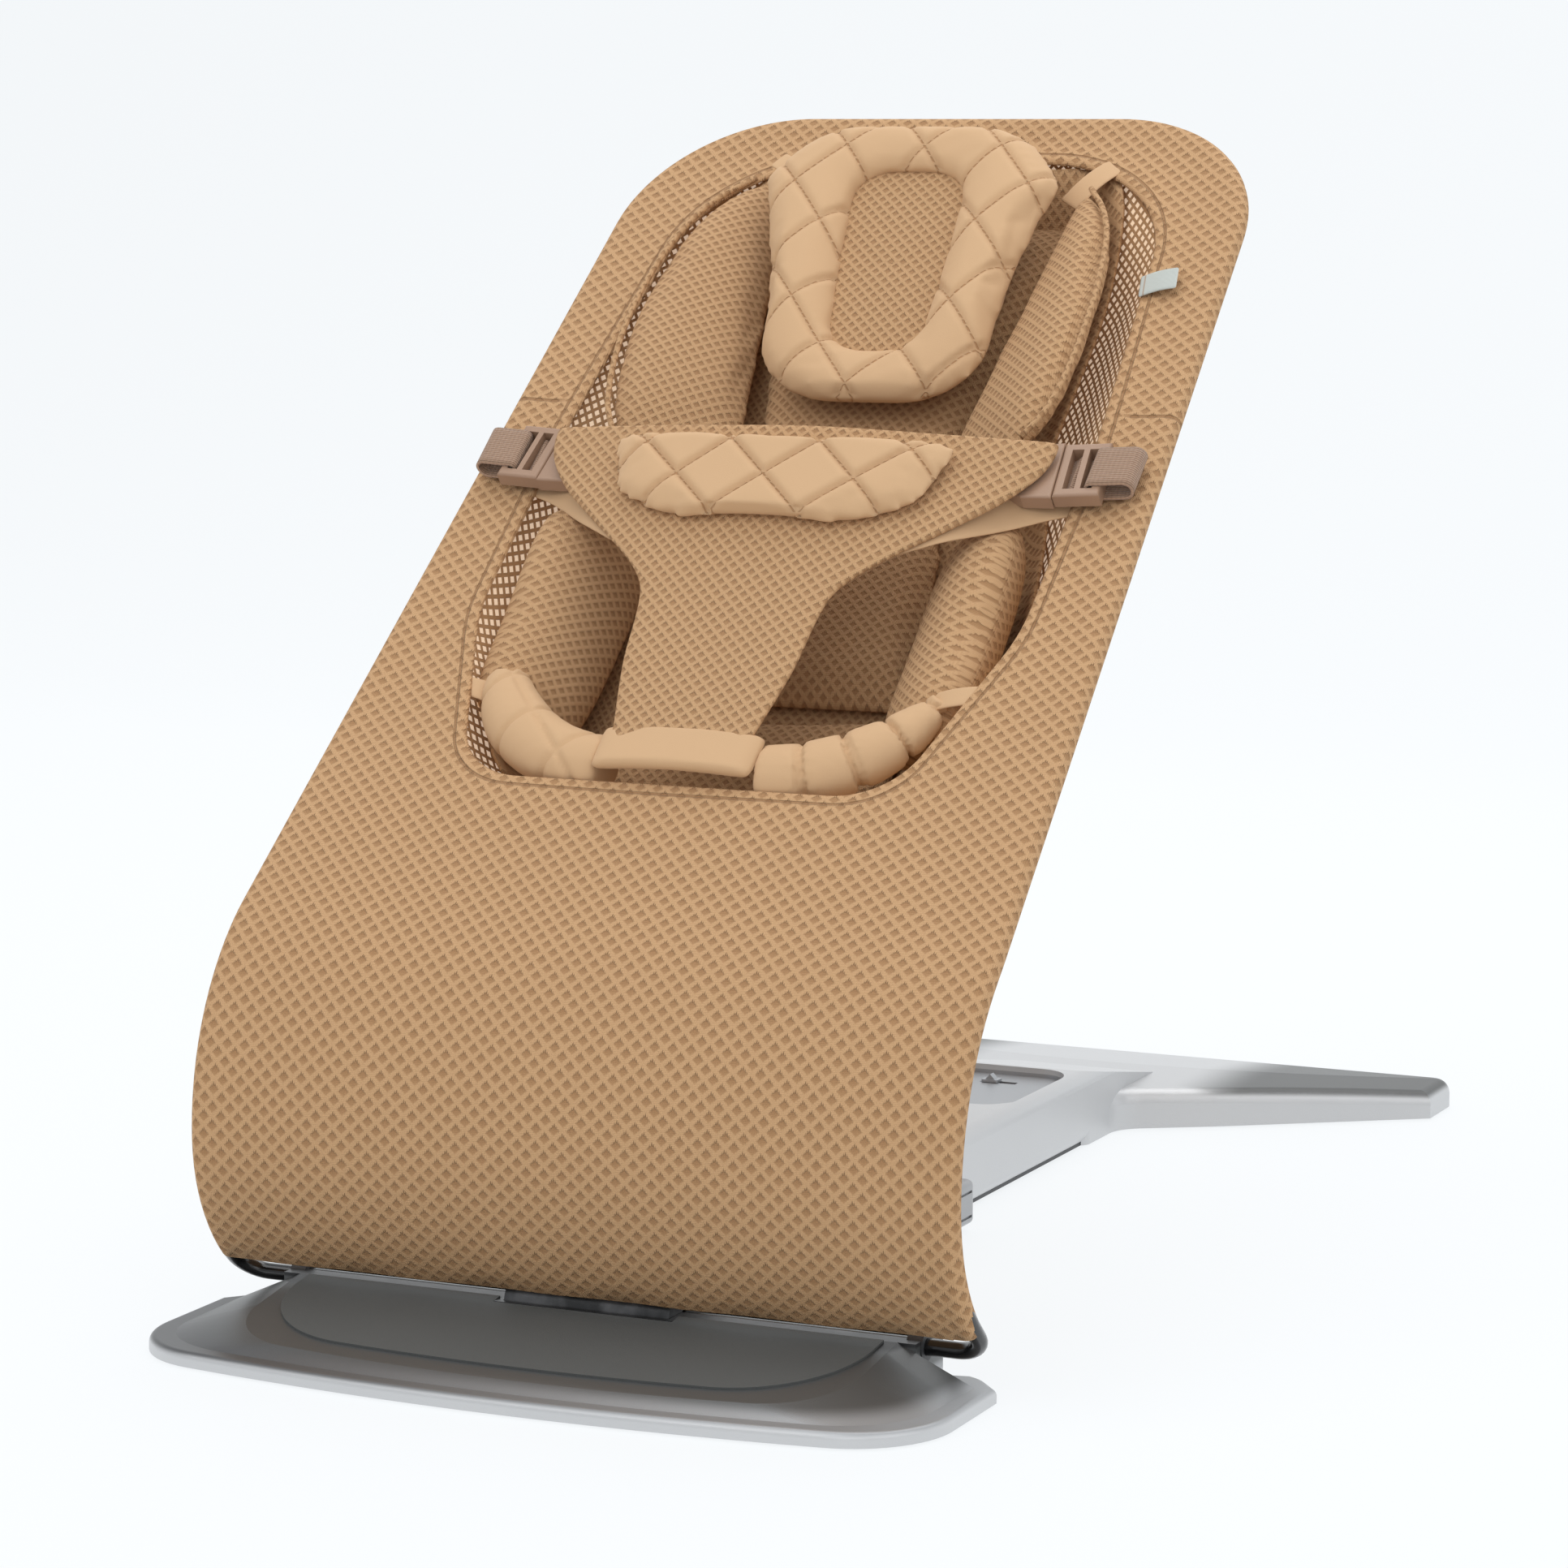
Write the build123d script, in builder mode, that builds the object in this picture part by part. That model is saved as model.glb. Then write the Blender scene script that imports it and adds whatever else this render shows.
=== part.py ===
from build123d import *
import math
import os

# A baby bouncer: a fabric seat on a bent wire frame that pivots in the front foot of a moulded
# base and folds flat over it.  Millimetres, +Z up, front towards -Y, origin on the floor under
# the middle of the object.

os.makedirs("parts", exist_ok=True)

# ---------------------------------------------------------------- driving dimensions
base_length = 839.0          # front edge of the front foot to the rear edge of the rear foot
foot_half_width = 203.0      # front foot, half its width
rear_half_width = 197.0      # rear foot, half its width
shell_lift = 1.0             # the shells stand this far off the floor, on their grip pads
wall = 3.0                   # moulded wall thickness
gap = 0.3                    # clearance between pieces that don't touch
running = 0.05               # radial clearance of a turning fit

wire_radius = 4.0            # spring wire of the seat frame
pivot_height = 21.0          # height of the wire's pivot axis
pivot_setback = 119.5        # pivot axis behind the front edge of the base
seat_angle = 40.8            # slope of the straight run of the seat
seat_half_width = 197.5      # cover, half its width at the foot of the straight run
seat_length = 574.0          # straight run of the cover up to its top edge
seat_top_half = 175.6        # cover, half its width where sides and top edge would meet
seat_corner = 90.0           # cover, radius of its top corners
seam_at = 349.0              # side wires end here and the top hoop begins
upper_bend = 134.0           # wire bend below the straight run
lower_bend = 85.0            # wire bend above the pivot
bulge_lift = 74.0            # foremost point of the wire above the pivot axis
bulge_reach = 39.5           # foremost point of the wire ahead of the pivot axis
hem_height = 35.0            # lower edge of the cover above the floor

cloth = 2.0                  # thickness given to single layers of cloth
sleeve = 1.5                 # cloth round the wire

front_y = -base_length / 2
rear_y = base_length / 2
pivot_y = front_y + pivot_setback

# ---------------------------------------------------------------- planes of the seat
slope = math.radians(seat_angle)
along = Vector(0, math.cos(slope), math.sin(slope))
facing = Vector(0, -math.sin(slope), math.cos(slope))
bend_y = pivot_y - bulge_reach + upper_bend
bend_z = pivot_height + bulge_lift
seat_origin = Vector(0, bend_y, bend_z) + facing * upper_bend
# local x is across the seat, y up its slope and z out of its front face
seat_plane = Plane(origin=seat_origin, x_dir=(1, 0, 0), z_dir=facing)
# local x is up the slope and y out of the front face: the seat seen from its side
side_plane = Plane(origin=seat_origin, x_dir=along, z_dir=(1, 0, 0))
# local x is across the seat and y out of the front face: the seat cut across
cross_plane = Plane(origin=seat_origin, x_dir=(1, 0, 0), z_dir=-along)

upper_sweep = 90 - seat_angle
hem_sweep = math.degrees(math.asin((bend_z - hem_height) / lower_bend))
side_taper = (seat_half_width - seat_top_half) / seat_length
edge_inset = wire_radius + sleeve
sleeve_wall = 1.0            # steel sleeves that join the wires to the hoop
sheet_back = wire_radius + sleeve_wall + gap
sheet_front = sheet_back + cloth
root_split = 0.7             # the wire's pivoting root and its sprung run part here


def save(piece, name):
    piece.part.label = name
    export_step(piece.part, "parts/" + name + ".step")


def save_mirrored(piece, name):
    save(piece, name + "_right")
    with BuildPart() as other:
        mirror(piece.part, about=Plane.YZ)
    save(other, name + "_left")


def seat_width_at(up):
    return seat_half_width - side_taper * up


# ---------------------------------------------------------------- front foot
rim_top = 8.0                # top of the foot's thin rim
foot_bow = 19.0              # how far the front edge bows forward
foot_corner = 48.0
wing_back = 119.0            # rear of the wings, behind the front edge
wing_inner = 184.0           # where a wing's rear edge turns in
ramp_low = 11.5              # ramp height at its front edge
ramp_high = 25.0             # ramp height at the rear of the slopes
ramp_front = 20.0            # ramp front edge behind the foot's front edge
ramp_back = 107.0            # rear of the slopes, ahead of the pivot wire
ramp_half_width = 156.0
slope_inset = 6.0
hub_half_width = 165.0       # housing that holds the wire's bushes
hub_back = 232.0             # rear of the housing, behind the front edge
hollow_back = 168.0          # rear of the hollow under the ramp, behind the front edge
hollow_half_width = 120.0
spine_half_width = 43.0
tail_half_width = 61.0       # cheeks beside the spine
tail_height = 27.0
tail_back = 358.0            # rear of the cheeks, behind the front edge
tail_floor = 2.0
spine_under = shell_lift + tail_floor + gap
drum_radius = pivot_height - spine_under     # spine's nose, round the pivot axis
bush_radius = 7.0
bush_length = 7.5

ramp_angle = math.degrees(math.atan2(ramp_high - ramp_low, ramp_back - ramp_front))
ramp_plane = Plane(
    origin=(0, front_y + ramp_front, ramp_low),
    x_dir=(1, 0, 0),
    z_dir=(0, -math.sin(math.radians(ramp_angle)), math.cos(math.radians(ramp_angle))),
)
ramp_length = math.hypot(ramp_high - ramp_low, ramp_back - ramp_front)
trough_half = spine_half_width + gap
trough_front = pivot_y - drum_radius - gap
low_half = foot_half_width - slope_inset
low_front = front_y + slope_inset


with BuildPart() as foot:
    with BuildSketch(Plane.XY.offset(shell_lift)) as plan:
        with BuildLine():
            front = ThreePointArc(
                (-foot_half_width, front_y + foot_bow), (0, front_y), (foot_half_width, front_y + foot_bow)
            )
            Polyline(
                front @ 1,
                (foot_half_width, front_y + wing_back - 8),
                (foot_half_width - 7, front_y + wing_back),
                (wing_inner, front_y + wing_back + 6),
                (hub_half_width, front_y + wing_back + 2),
                (hub_half_width, front_y + wing_back + 20),
                (tail_half_width, front_y + hub_back),
                (-tail_half_width, front_y + hub_back),
                (-hub_half_width, front_y + wing_back + 20),
                (-hub_half_width, front_y + wing_back + 2),
                (-wing_inner, front_y + wing_back + 6),
                (-foot_half_width + 7, front_y + wing_back),
                (-foot_half_width, front_y + wing_back - 8),
                front @ 0,
            )
        make_face()
        fillet(plan.vertices().group_by(Axis.Y)[0], radius=foot_corner)
    extrude(amount=rim_top - shell_lift)
    rim_edges = foot.edges().group_by(Axis.Z)[-1]
    fillet(rim_edges.filter_by_position(Axis.Y, front_y - 1, front_y + wing_back), radius=3.5)
    # sloping sides and front of the ramp
    with BuildSketch(Plane.XY.offset(rim_top - 1.5)) as low:
        with BuildLine():
            ThreePointArc(
                (-low_half, low_front + foot_bow), (0, low_front), (low_half, low_front + foot_bow)
            )
            Polyline(
                (low_half, low_front + foot_bow),
                (low_half, front_y + ramp_back),
                (-low_half, front_y + ramp_back),
                (-low_half, low_front + foot_bow),
            )
        make_face()
        fillet(low.vertices().group_by(Axis.Y)[0], radius=foot_corner - slope_inset)
    with BuildSketch(ramp_plane) as high:
        with BuildLine():
            ThreePointArc((-ramp_half_width, foot_bow * 0.6), (0, 0), (ramp_half_width, foot_bow * 0.6))
            Polyline(
                (ramp_half_width, foot_bow * 0.6),
                (ramp_half_width, ramp_length),
                (-ramp_half_width, ramp_length),
                (-ramp_half_width, foot_bow * 0.6),
            )
        make_face()
        fillet(high.vertices().group_by(Axis.Y)[0], radius=foot_corner - slope_inset)
    loft(ruled=True)
    # housing behind the ramp, for the wire's bushes
    with BuildSketch(Plane.XY.offset(shell_lift)):
        Polygon(
            (-hub_half_width, front_y + ramp_back),
            (hub_half_width, front_y + ramp_back),
            (hub_half_width, front_y + wing_back + 20),
            (tail_half_width, front_y + hub_back),
            (-tail_half_width, front_y + hub_back),
            (-hub_half_width, front_y + wing_back + 20),
            align=None,
        )
    extrude(amount=ramp_high - shell_lift)
    # cheeks and floor that carry the spine
    with BuildSketch(Plane.XY.offset(shell_lift)):
        with Locations((0, front_y + (hub_back + tail_back) / 2 - 10)):
            Rectangle(2 * tail_half_width, tail_back - hub_back + 20)
    extrude(amount=tail_height - shell_lift)
    # hollow from below
    with BuildSketch(Plane.YZ):
        Polygon(
            (front_y + ramp_front + 12, shell_lift),
            (front_y + ramp_front + 12, ramp_low - wall + 0.5),
            (front_y + ramp_back, ramp_high - wall - 2),
            (front_y + hollow_back, ramp_high - wall - 2),
            (front_y + hollow_back, shell_lift),
            align=None,
        )
    extrude(amount=hollow_half_width, both=True, mode=Mode.SUBTRACT)
    # trough for the spine, with its floor
    with BuildSketch(Plane.XY.offset(shell_lift)):
        with Locations((0, (trough_front - wall + front_y + tail_back) / 2)):
            Rectangle(2 * (trough_half + wall), front_y + tail_back - trough_front + wall)
    extrude(amount=ramp_high - shell_lift)
    with BuildSketch(Plane.XY.offset(shell_lift + tail_floor)):
        with Locations((0, (trough_front + rear_y) / 2)):
            Rectangle(2 * trough_half, rear_y - trough_front)
    extrude(amount=60.0, mode=Mode.SUBTRACT)
    # seats for the wire and its bushes
    with BuildSketch(Plane.YZ):
        with Locations((pivot_y, pivot_height)):
            Circle(wire_radius + 1.0)
    extrude(amount=hub_half_width + 1, both=True, mode=Mode.SUBTRACT)
    for side in (-1, 1):
        with BuildSketch(Plane.YZ.offset(side * (hub_half_width - bush_length))):
            with Locations((pivot_y, pivot_height)):
                Circle(bush_radius)
        extrude(amount=side * (bush_length + 3), mode=Mode.SUBTRACT)
save(foot, "front_foot_shell")

# ---------------------------------------------------------------- ramp inlay and bottom cover
inlay_thickness = 1.2
inlay_half_width = 150.0
inlay_front = 12.0           # inlay front edge, up the ramp from the ramp's front edge
inlay_corner = 60.0

with BuildPart() as inlay:
    with BuildSketch(ramp_plane) as plate:
        with BuildLine():
            ThreePointArc(
                (-inlay_half_width, inlay_front + foot_bow * 0.5),
                (0, inlay_front),
                (inlay_half_width, inlay_front + foot_bow * 0.5),
            )
            Polyline(
                (inlay_half_width, inlay_front + foot_bow * 0.5),
                (inlay_half_width, ramp_length - 1.5),
                (-inlay_half_width, ramp_length - 1.5),
                (-inlay_half_width, inlay_front + foot_bow * 0.5),
            )
        make_face()
        fillet(plate.vertices().group_by(Axis.Y)[0], radius=inlay_corner)
    extrude(amount=inlay_thickness)
    with BuildSketch(Plane.XY):
        with Locations((0, pivot_y)):
            Rectangle(2 * (trough_half + wall + gap), 2 * (pivot_y - trough_front + wall + gap))
    extrude(amount=60.0, mode=Mode.SUBTRACT)
save(inlay, "front_foot_inlay")

cover_thickness = 2.0
screw_radius = 1.5
screw_length = 9.0
boss_radius = 4.5
front_screws = ((-108, front_y + 60), (108, front_y + 60), (-108, front_y + 150), (108, front_y + 150))
front_cover_back = front_y + hollow_back - gap
front_cover_front = front_y + ramp_front + 12 + gap

with BuildPart() as front_cover:
    with BuildSketch(Plane.XY.offset(shell_lift)):
        with Locations((0, (front_cover_front + front_cover_back) / 2)):
            Rectangle(2 * (hollow_half_width - gap), front_cover_back - front_cover_front)
        with Locations((0, front_cover_back)):
            Rectangle(
                2 * (trough_half + wall + gap),
                2 * (front_cover_back - trough_front + wall + gap),
                mode=Mode.SUBTRACT,
            )
        with Locations(*front_screws):
            Circle(screw_radius + 0.2, mode=Mode.SUBTRACT)
    extrude(amount=cover_thickness)
save(front_cover, "front_foot_bottom_cover")

with BuildPart() as bush:
    with BuildSketch(Plane.YZ.offset(hub_half_width - bush_length + running)):
        with Locations((pivot_y, pivot_height)):
            Circle(bush_radius - running)
            Circle(wire_radius + running, mode=Mode.SUBTRACT)
    extrude(amount=bush_length - running + 0.5)
save_mirrored(bush, "wire_bush")

# ---------------------------------------------------------------- spine and rear foot
spine_top = 44.0
spine_crown = 9.0            # rounding of the spine's top edges
spine_rear = 215.0           # the spine's top starts to fall here
foot_rear_top = 24.0         # rear foot height along its middle
foot_tip_top = 15.5          # rear foot height at its ends and rear edge
foot_ridge = rear_y - 78.5    # the rear foot's top falls from here to its rear edge
arm_front = rear_y - 122.5    # front edge of the arms beside the spine
tip_front = rear_y - 49.5     # front edge of the arms at their ends
arm_root = 92.0
hatch_half_width = 37.0
hatch_front = 107.0
hatch_rear = 212.0
hatch_corner = 18.0
hatch_depth = 5.0
hatch_thickness = 3.0
hatch_middle = (hatch_front + hatch_rear) / 2
button_front = front_y + tail_back + gap
button_length = 68.0
button_rear = button_front + button_length
button_bottom = shell_lift + tail_floor + 1.0
button_height = tail_height - button_bottom
stem_radius = 3.5
stem_y = button_front + 32.0
stem_height = 15.5

hollow_rear = foot_ridge - 24     # rear end of the spine's hollow
spine_open = front_y + tail_back + gap       # the spine is open below from here back
rear_screws = ((-150, rear_y - 26), (150, rear_y - 26), (-88, rear_y - 40), (88, rear_y - 40))
pad_length = 46.0
pad_width = 9.0
front_pads = ((-120, front_y + 17), (120, front_y + 17), (-172, front_y + 112), (172, front_y + 112))
rear_pads = ((-150, rear_y - 2.8), (150, rear_y - 2.8))
lock_y = 190.0               # small lock slider in the hatch
lock_slot_middle = 1.0
lock_slot_length = 21.0
lock_slot_width = 5.0

with BuildSketch() as arm_hollow_right:
    Polygon(
        (arm_root + 8, arm_front + wall + 6),
        (rear_half_width - wall - 2, tip_front + wall + 3),
        (rear_half_width - wall - 2, rear_y - wall - 2),
        (spine_half_width + wall, rear_y - wall - 2),
        (spine_half_width + wall, arm_front + wall + 2),
        align=None,
    )
with BuildSketch() as arm_hollows:
    add(arm_hollow_right.sketch)
    mirror(arm_hollow_right.sketch, about=Plane.YZ)
arm_hollow = arm_hollows.sketch

with BuildPart() as rear_foot:
    with BuildSketch(Plane.XY.offset(shell_lift)) as arms:
        Polygon(
            (spine_half_width, spine_rear),
            (spine_half_width, arm_front - 30),
            (arm_root, arm_front),
            (rear_half_width, tip_front),
            (rear_half_width, rear_y),
            (-rear_half_width, rear_y),
            (-rear_half_width, tip_front),
            (-arm_root, arm_front),
            (-spine_half_width, arm_front - 30),
            (-spine_half_width, spine_rear),
            align=None,
        )
        fillet(arms.vertices().group_by(Axis.Y)[-1], radius=14)
        fillet(arms.vertices().filter_by_position(Axis.Y, arm_front - 31, arm_front + 1), radius=24)
    extrude(amount=foot_rear_top)
    with BuildSketch(Plane.XZ):
        with BuildLine():
            ThreePointArc(
                (-rear_half_width - 5, foot_tip_top),
                (0, foot_rear_top),
                (rear_half_width + 5, foot_tip_top),
            )
            Polyline(
                (rear_half_width + 5, foot_tip_top),
                (rear_half_width + 5, 0),
                (-rear_half_width - 5, 0),
                (-rear_half_width - 5, foot_tip_top),
            )
        make_face()
    extrude(amount=base_length, both=True, mode=Mode.INTERSECT)
    with BuildSketch(Plane.YZ):
        Polygon(
            (spine_rear - 10, 0),
            (spine_rear - 10, foot_rear_top),
            (foot_ridge, foot_rear_top),
            (rear_y, foot_tip_top),
            (rear_y, 0),
            align=None,
        )
    extrude(amount=base_length, both=True, mode=Mode.INTERSECT)
    fillet(rear_foot.edges().filter_by_position(Axis.Z, foot_tip_top - 6, foot_rear_top + 1), radius=8.0)

with BuildPart() as rear_base:
    with BuildSketch(Plane.XZ) as spine_section:
        with Locations((0, (shell_lift + spine_top) / 2)):
            Rectangle(2 * spine_half_width, spine_top - shell_lift)
        fillet(spine_section.vertices().group_by(Axis.Z)[-1], radius=spine_crown)
    extrude(amount=base_length / 2, both=True)
    with BuildSketch(Plane.YZ):
        with BuildLine():
            ThreePointArc(
                (pivot_y, spine_under),
                (pivot_y - drum_radius, pivot_height),
                (pivot_y, pivot_height + drum_radius),
            )
            Polyline(
                (pivot_y, pivot_height + drum_radius),
                (pivot_y + 60, spine_top),
                (spine_rear, spine_top),
                (foot_ridge - 15, foot_rear_top - 0.5),
                (foot_ridge - 15, shell_lift),
                (front_y + tail_back + gap, shell_lift),
                (front_y + tail_back + gap, spine_under),
                (pivot_y, spine_under),
            )
        make_face()
    extrude(amount=base_length, both=True, mode=Mode.INTERSECT)
    add(rear_foot.part)
    # hollow from below
    with BuildSketch(Plane.YZ):
        with BuildLine():
            ThreePointArc(
                (pivot_y, spine_under + wall),
                (pivot_y - drum_radius + wall, pivot_height),
                (pivot_y, pivot_height + drum_radius - wall),
            )
            Polyline(
                (pivot_y, pivot_height + drum_radius - wall),
                (pivot_y + 60, spine_top - wall),
                (spine_rear, spine_top - wall),
                (hollow_rear, foot_rear_top - wall),
                (hollow_rear, shell_lift),
                (spine_open, shell_lift),
                (spine_open, spine_under + wall),
                (pivot_y, spine_under + wall),
            )
        make_face()
    extrude(amount=spine_half_width - wall, both=True, mode=Mode.SUBTRACT)
    with BuildSketch(Plane.XY.offset(shell_lift)):
        add(arm_hollow)
    extrude(amount=foot_tip_top - 2 * wall - shell_lift, mode=Mode.SUBTRACT)
    # pillars for the screws
    with BuildSketch(Plane.XY.offset(shell_lift + cover_thickness + gap)):
        with Locations(*rear_screws):
            Circle(boss_radius)
    extrude(amount=foot_tip_top - wall - shell_lift - cover_thickness)
    with BuildSketch(Plane.XY.offset(shell_lift)):
        with Locations(*rear_screws):
            Circle(screw_radius)
    extrude(amount=screw_length + 1, mode=Mode.SUBTRACT)
    # hatch opening in the crown
    with BuildSketch(Plane.XY.offset(spine_top - hatch_depth)):
        with Locations((0, hatch_middle)):
            RectangleRounded(2 * hatch_half_width, hatch_rear - hatch_front, hatch_corner)
    extrude(amount=hatch_depth + 1, mode=Mode.SUBTRACT)
    # bores for the pivot wire and the two button stems
    with BuildSketch(Plane.YZ):
        with Locations((pivot_y, pivot_height)):
            Circle(wire_radius + 1.0)
        with Locations((stem_y, stem_height)):
            Circle(stem_radius + gap)
    extrude(amount=spine_half_width + 1, both=True, mode=Mode.SUBTRACT)
save(rear_base, "rear_base_shell")

with BuildPart() as rear_cover:
    with BuildSketch(Plane.XY.offset(shell_lift)):
        with Locations((0, (spine_open + hollow_rear) / 2)):
            Rectangle(2 * (spine_half_width - wall - gap), hollow_rear - spine_open - 2 * gap)
    extrude(amount=cover_thickness)
save(rear_cover, "spine_bottom_cover")

with BuildPart() as arm_cover:
    with BuildSketch(Plane.XY.offset(shell_lift)):
        add(arm_hollow)
        offset(amount=-gap, mode=Mode.REPLACE)
        with Locations(*rear_screws):
            Circle(screw_radius + 0.2, mode=Mode.SUBTRACT)
    extrude(amount=cover_thickness)
save(arm_cover, "rear_foot_bottom_cover")

# ---------------------------------------------------------------- screws and grip pads
with BuildPart() as screws:
    for spot in front_screws + rear_screws:
        with BuildSketch(Plane.XY.offset(shell_lift - 0.4)):
            with Locations(spot):
                Circle(screw_radius - running)
        extrude(amount=screw_length)
save(screws, "base_screws")

with BuildPart() as front_grips:
    with BuildSketch(Plane.XY):
        with Locations(*front_pads):
            SlotOverall(pad_length, pad_width)
    extrude(amount=shell_lift)
save(front_grips, "front_grip_pads")

with BuildPart() as rear_grips:
    with BuildSketch(Plane.XY):
        with Locations(*rear_pads):
            SlotOverall(pad_length, 4.0)
    extrude(amount=shell_lift)
save(rear_grips, "rear_grip_pads")

# ---------------------------------------------------------------- hatch and lock slider
hatch_face = spine_top - hatch_depth
hatch_flange = spine_half_width - wall - 1.0

with BuildPart() as hatch:
    with BuildSketch(Plane.XY.offset(hatch_face - hatch_thickness)):
        with Locations((0, hatch_middle)):
            RectangleRounded(2 * hatch_flange, hatch_rear - hatch_front + 6, hatch_corner)
    extrude(amount=spine_top - wall - hatch_face + hatch_thickness)
    with BuildSketch(Plane.XY.offset(hatch_face)):
        with Locations((0, hatch_middle)):
            RectangleRounded(2 * hatch_half_width, hatch_rear - hatch_front, hatch_corner)
    extrude(amount=hatch_depth, mode=Mode.SUBTRACT)
    with BuildSketch(Plane.XY.offset(hatch_face)):
        with Locations((lock_slot_middle, lock_y)):
            Rectangle(lock_slot_length, lock_slot_width)
    extrude(amount=-hatch_thickness - 1, mode=Mode.SUBTRACT)
save(hatch, "hatch_panel")

knob_length = 10.0
knob_left = lock_slot_middle - lock_slot_length / 2 + 1.0
knob_middle = knob_left + knob_length / 2
plate_top = hatch_face - hatch_thickness - gap
plate_thickness = 2.5
rod_radius = 3.0
rod_height = 21.0
rod_rear = 173.5
rod_room = 5.0               # the rod ends this far ahead of the lock, so its stroke clears it
lock_leg_width = 13.0

with BuildPart() as lock_knob:
    with BuildSketch(Plane.XY.offset(plate_top)):
        with Locations((knob_middle, lock_y)):
            Rectangle(knob_length - 2, lock_slot_width - 2 * gap)
    extrude(amount=hatch_thickness + gap + 0.3)
    with BuildSketch(Plane.XY.offset(hatch_face + 0.3)):
        with Locations((knob_middle, lock_y)):
            RectangleRounded(knob_length, lock_slot_width + 3, 1.5)
    extrude(amount=1.4)
    with BuildSketch(Plane.XZ.offset(-lock_y - lock_slot_width / 2)):
        Polygon(
            (knob_middle - 3, hatch_face + 1.5),
            (knob_middle, hatch_face + 4.6),
            (knob_middle + 3, hatch_face + 1.5),
            align=None,
        )
    extrude(amount=lock_slot_width)
save(lock_knob, "lock_knob")

with BuildPart() as lock_plate:
    with BuildSketch(Plane.XY.offset(plate_top - plate_thickness)):
        with Locations((knob_middle, lock_y)):
            Rectangle(26, 18)
    extrude(amount=plate_thickness)
    # leg that stands behind the rod's end once the slider is moved across
    with BuildSketch(Plane.XY.offset(rod_height - 6)):
        with Locations((-rod_radius - 1 - lock_leg_width / 2, rod_rear + 0.5 + 3)):
            Rectangle(lock_leg_width, 6)
    extrude(amount=plate_top - plate_thickness - rod_height + 6)
    with BuildSketch(Plane.XY.offset(plate_top - plate_thickness)):
        with Locations((-8, rod_rear + 6)):
            Rectangle(18, 12)
    extrude(amount=plate_thickness)
save(lock_plate, "lock_plate")

# ---------------------------------------------------------------- side buttons and their springs
button_face = 63.0
button_depth = 14.0
button_inner = button_face - button_depth
groove_depth = 1.2
stem_tip = 22.0

with BuildPart() as button:
    with BuildSketch(Plane.XY.offset(button_bottom)) as button_plan:
        with Locations((button_face - button_depth / 2, (button_front + button_rear) / 2)):
            Rectangle(button_depth, button_length)
        fillet(button_plan.vertices().group_by(Axis.Y)[-1].group_by(Axis.X)[-1], radius=6)
    extrude(amount=button_height)
    fillet(button.faces().sort_by(Axis.X)[-1].edges().filter_by(Axis.Y), radius=3)
    for groove_height in (button_bottom + 4.5, button_bottom + button_height - 5.5):
        with BuildSketch(Plane.YZ.offset(button_face - groove_depth)):
            with Locations(((button_front + button_rear) / 2 - 3, groove_height)):
                Rectangle(button_length - 6, 1.4)
        extrude(amount=groove_depth + 1, mode=Mode.SUBTRACT)
    with BuildSketch(Plane.YZ.offset(button_inner)):
        with Locations((stem_y, stem_height)):
            Circle(stem_radius)
    extrude(amount=-(button_inner - stem_tip))
    chamfer(button.faces().sort_by(Axis.X)[0].edges(), length=2.5)
save_mirrored(button, "release_button")

spring_wire = 0.8
button_spring_radius = stem_radius + 0.3 + spring_wire / 2

with BuildPart() as button_spring:
    for coil in range(4):
        spot = spine_half_width + gap + spring_wire / 2 + coil * 1.4
        with BuildSketch(Plane.XY.offset(stem_height)):
            with Locations((spot, stem_y + button_spring_radius)):
                Circle(spring_wire / 2)
        revolve(axis=Axis((0, stem_y, stem_height), (1, 0, 0)), revolution_arc=360)
save_mirrored(button_spring, "button_spring")

# ---------------------------------------------------------------- latch: yoke, rod, plunger, spring
detent_radius = 12.5
plunger_gap = 0.35
plunger_front = pivot_y + detent_radius + plunger_gap
plunger_length = 14.0
plunger_half_width = 6.0
bulkhead_y = pivot_y + 62.0
bulkhead_thickness = 4.0
latch_spring_wire = 1.2
latch_spring_coils = 9

with BuildPart() as yoke:
    # two ramps that the button stems push rearwards
    with BuildSketch(Plane.XY.offset(rod_height - 5)):
        Polygon(
            (-stem_tip + 1, stem_y + stem_radius + 4),
            (-stem_tip + 12, stem_y - 7),
            (stem_tip - 12, stem_y - 7),
            (stem_tip - 1, stem_y + stem_radius + 4),
            (stem_tip - 1, stem_y + stem_radius + 10),
            (-stem_tip + 1, stem_y + stem_radius + 10),
            align=None,
        )
    extrude(amount=10)
    with BuildSketch(Plane.XZ):
        with Locations((0, rod_height)):
            Circle(rod_radius)
    extrude(amount=base_length, both=True, mode=Mode.SUBTRACT)
save(yoke, "release_yoke")

with BuildPart() as rod:
    with BuildSketch(Plane.XZ.offset(-plunger_front - plunger_length)):
        with Locations((0, rod_height)):
            Circle(rod_radius)
    extrude(amount=-(rod_rear - rod_room - plunger_front - plunger_length))
save(rod, "pull_rod")

with BuildPart() as plunger:
    with BuildSketch(Plane.XY.offset(rod_height - 5)):
        Polygon(
            (-plunger_half_width, plunger_front + plunger_length),
            (-plunger_half_width, plunger_front),
            (plunger_half_width, plunger_front),
            (plunger_half_width, plunger_front + plunger_length),
            align=None,
        )
    extrude(amount=10)
    chamfer(plunger.faces().sort_by(Axis.Y)[0].edges().filter_by(Axis.X), length=3.5)
save(plunger, "latch_plunger")

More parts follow.
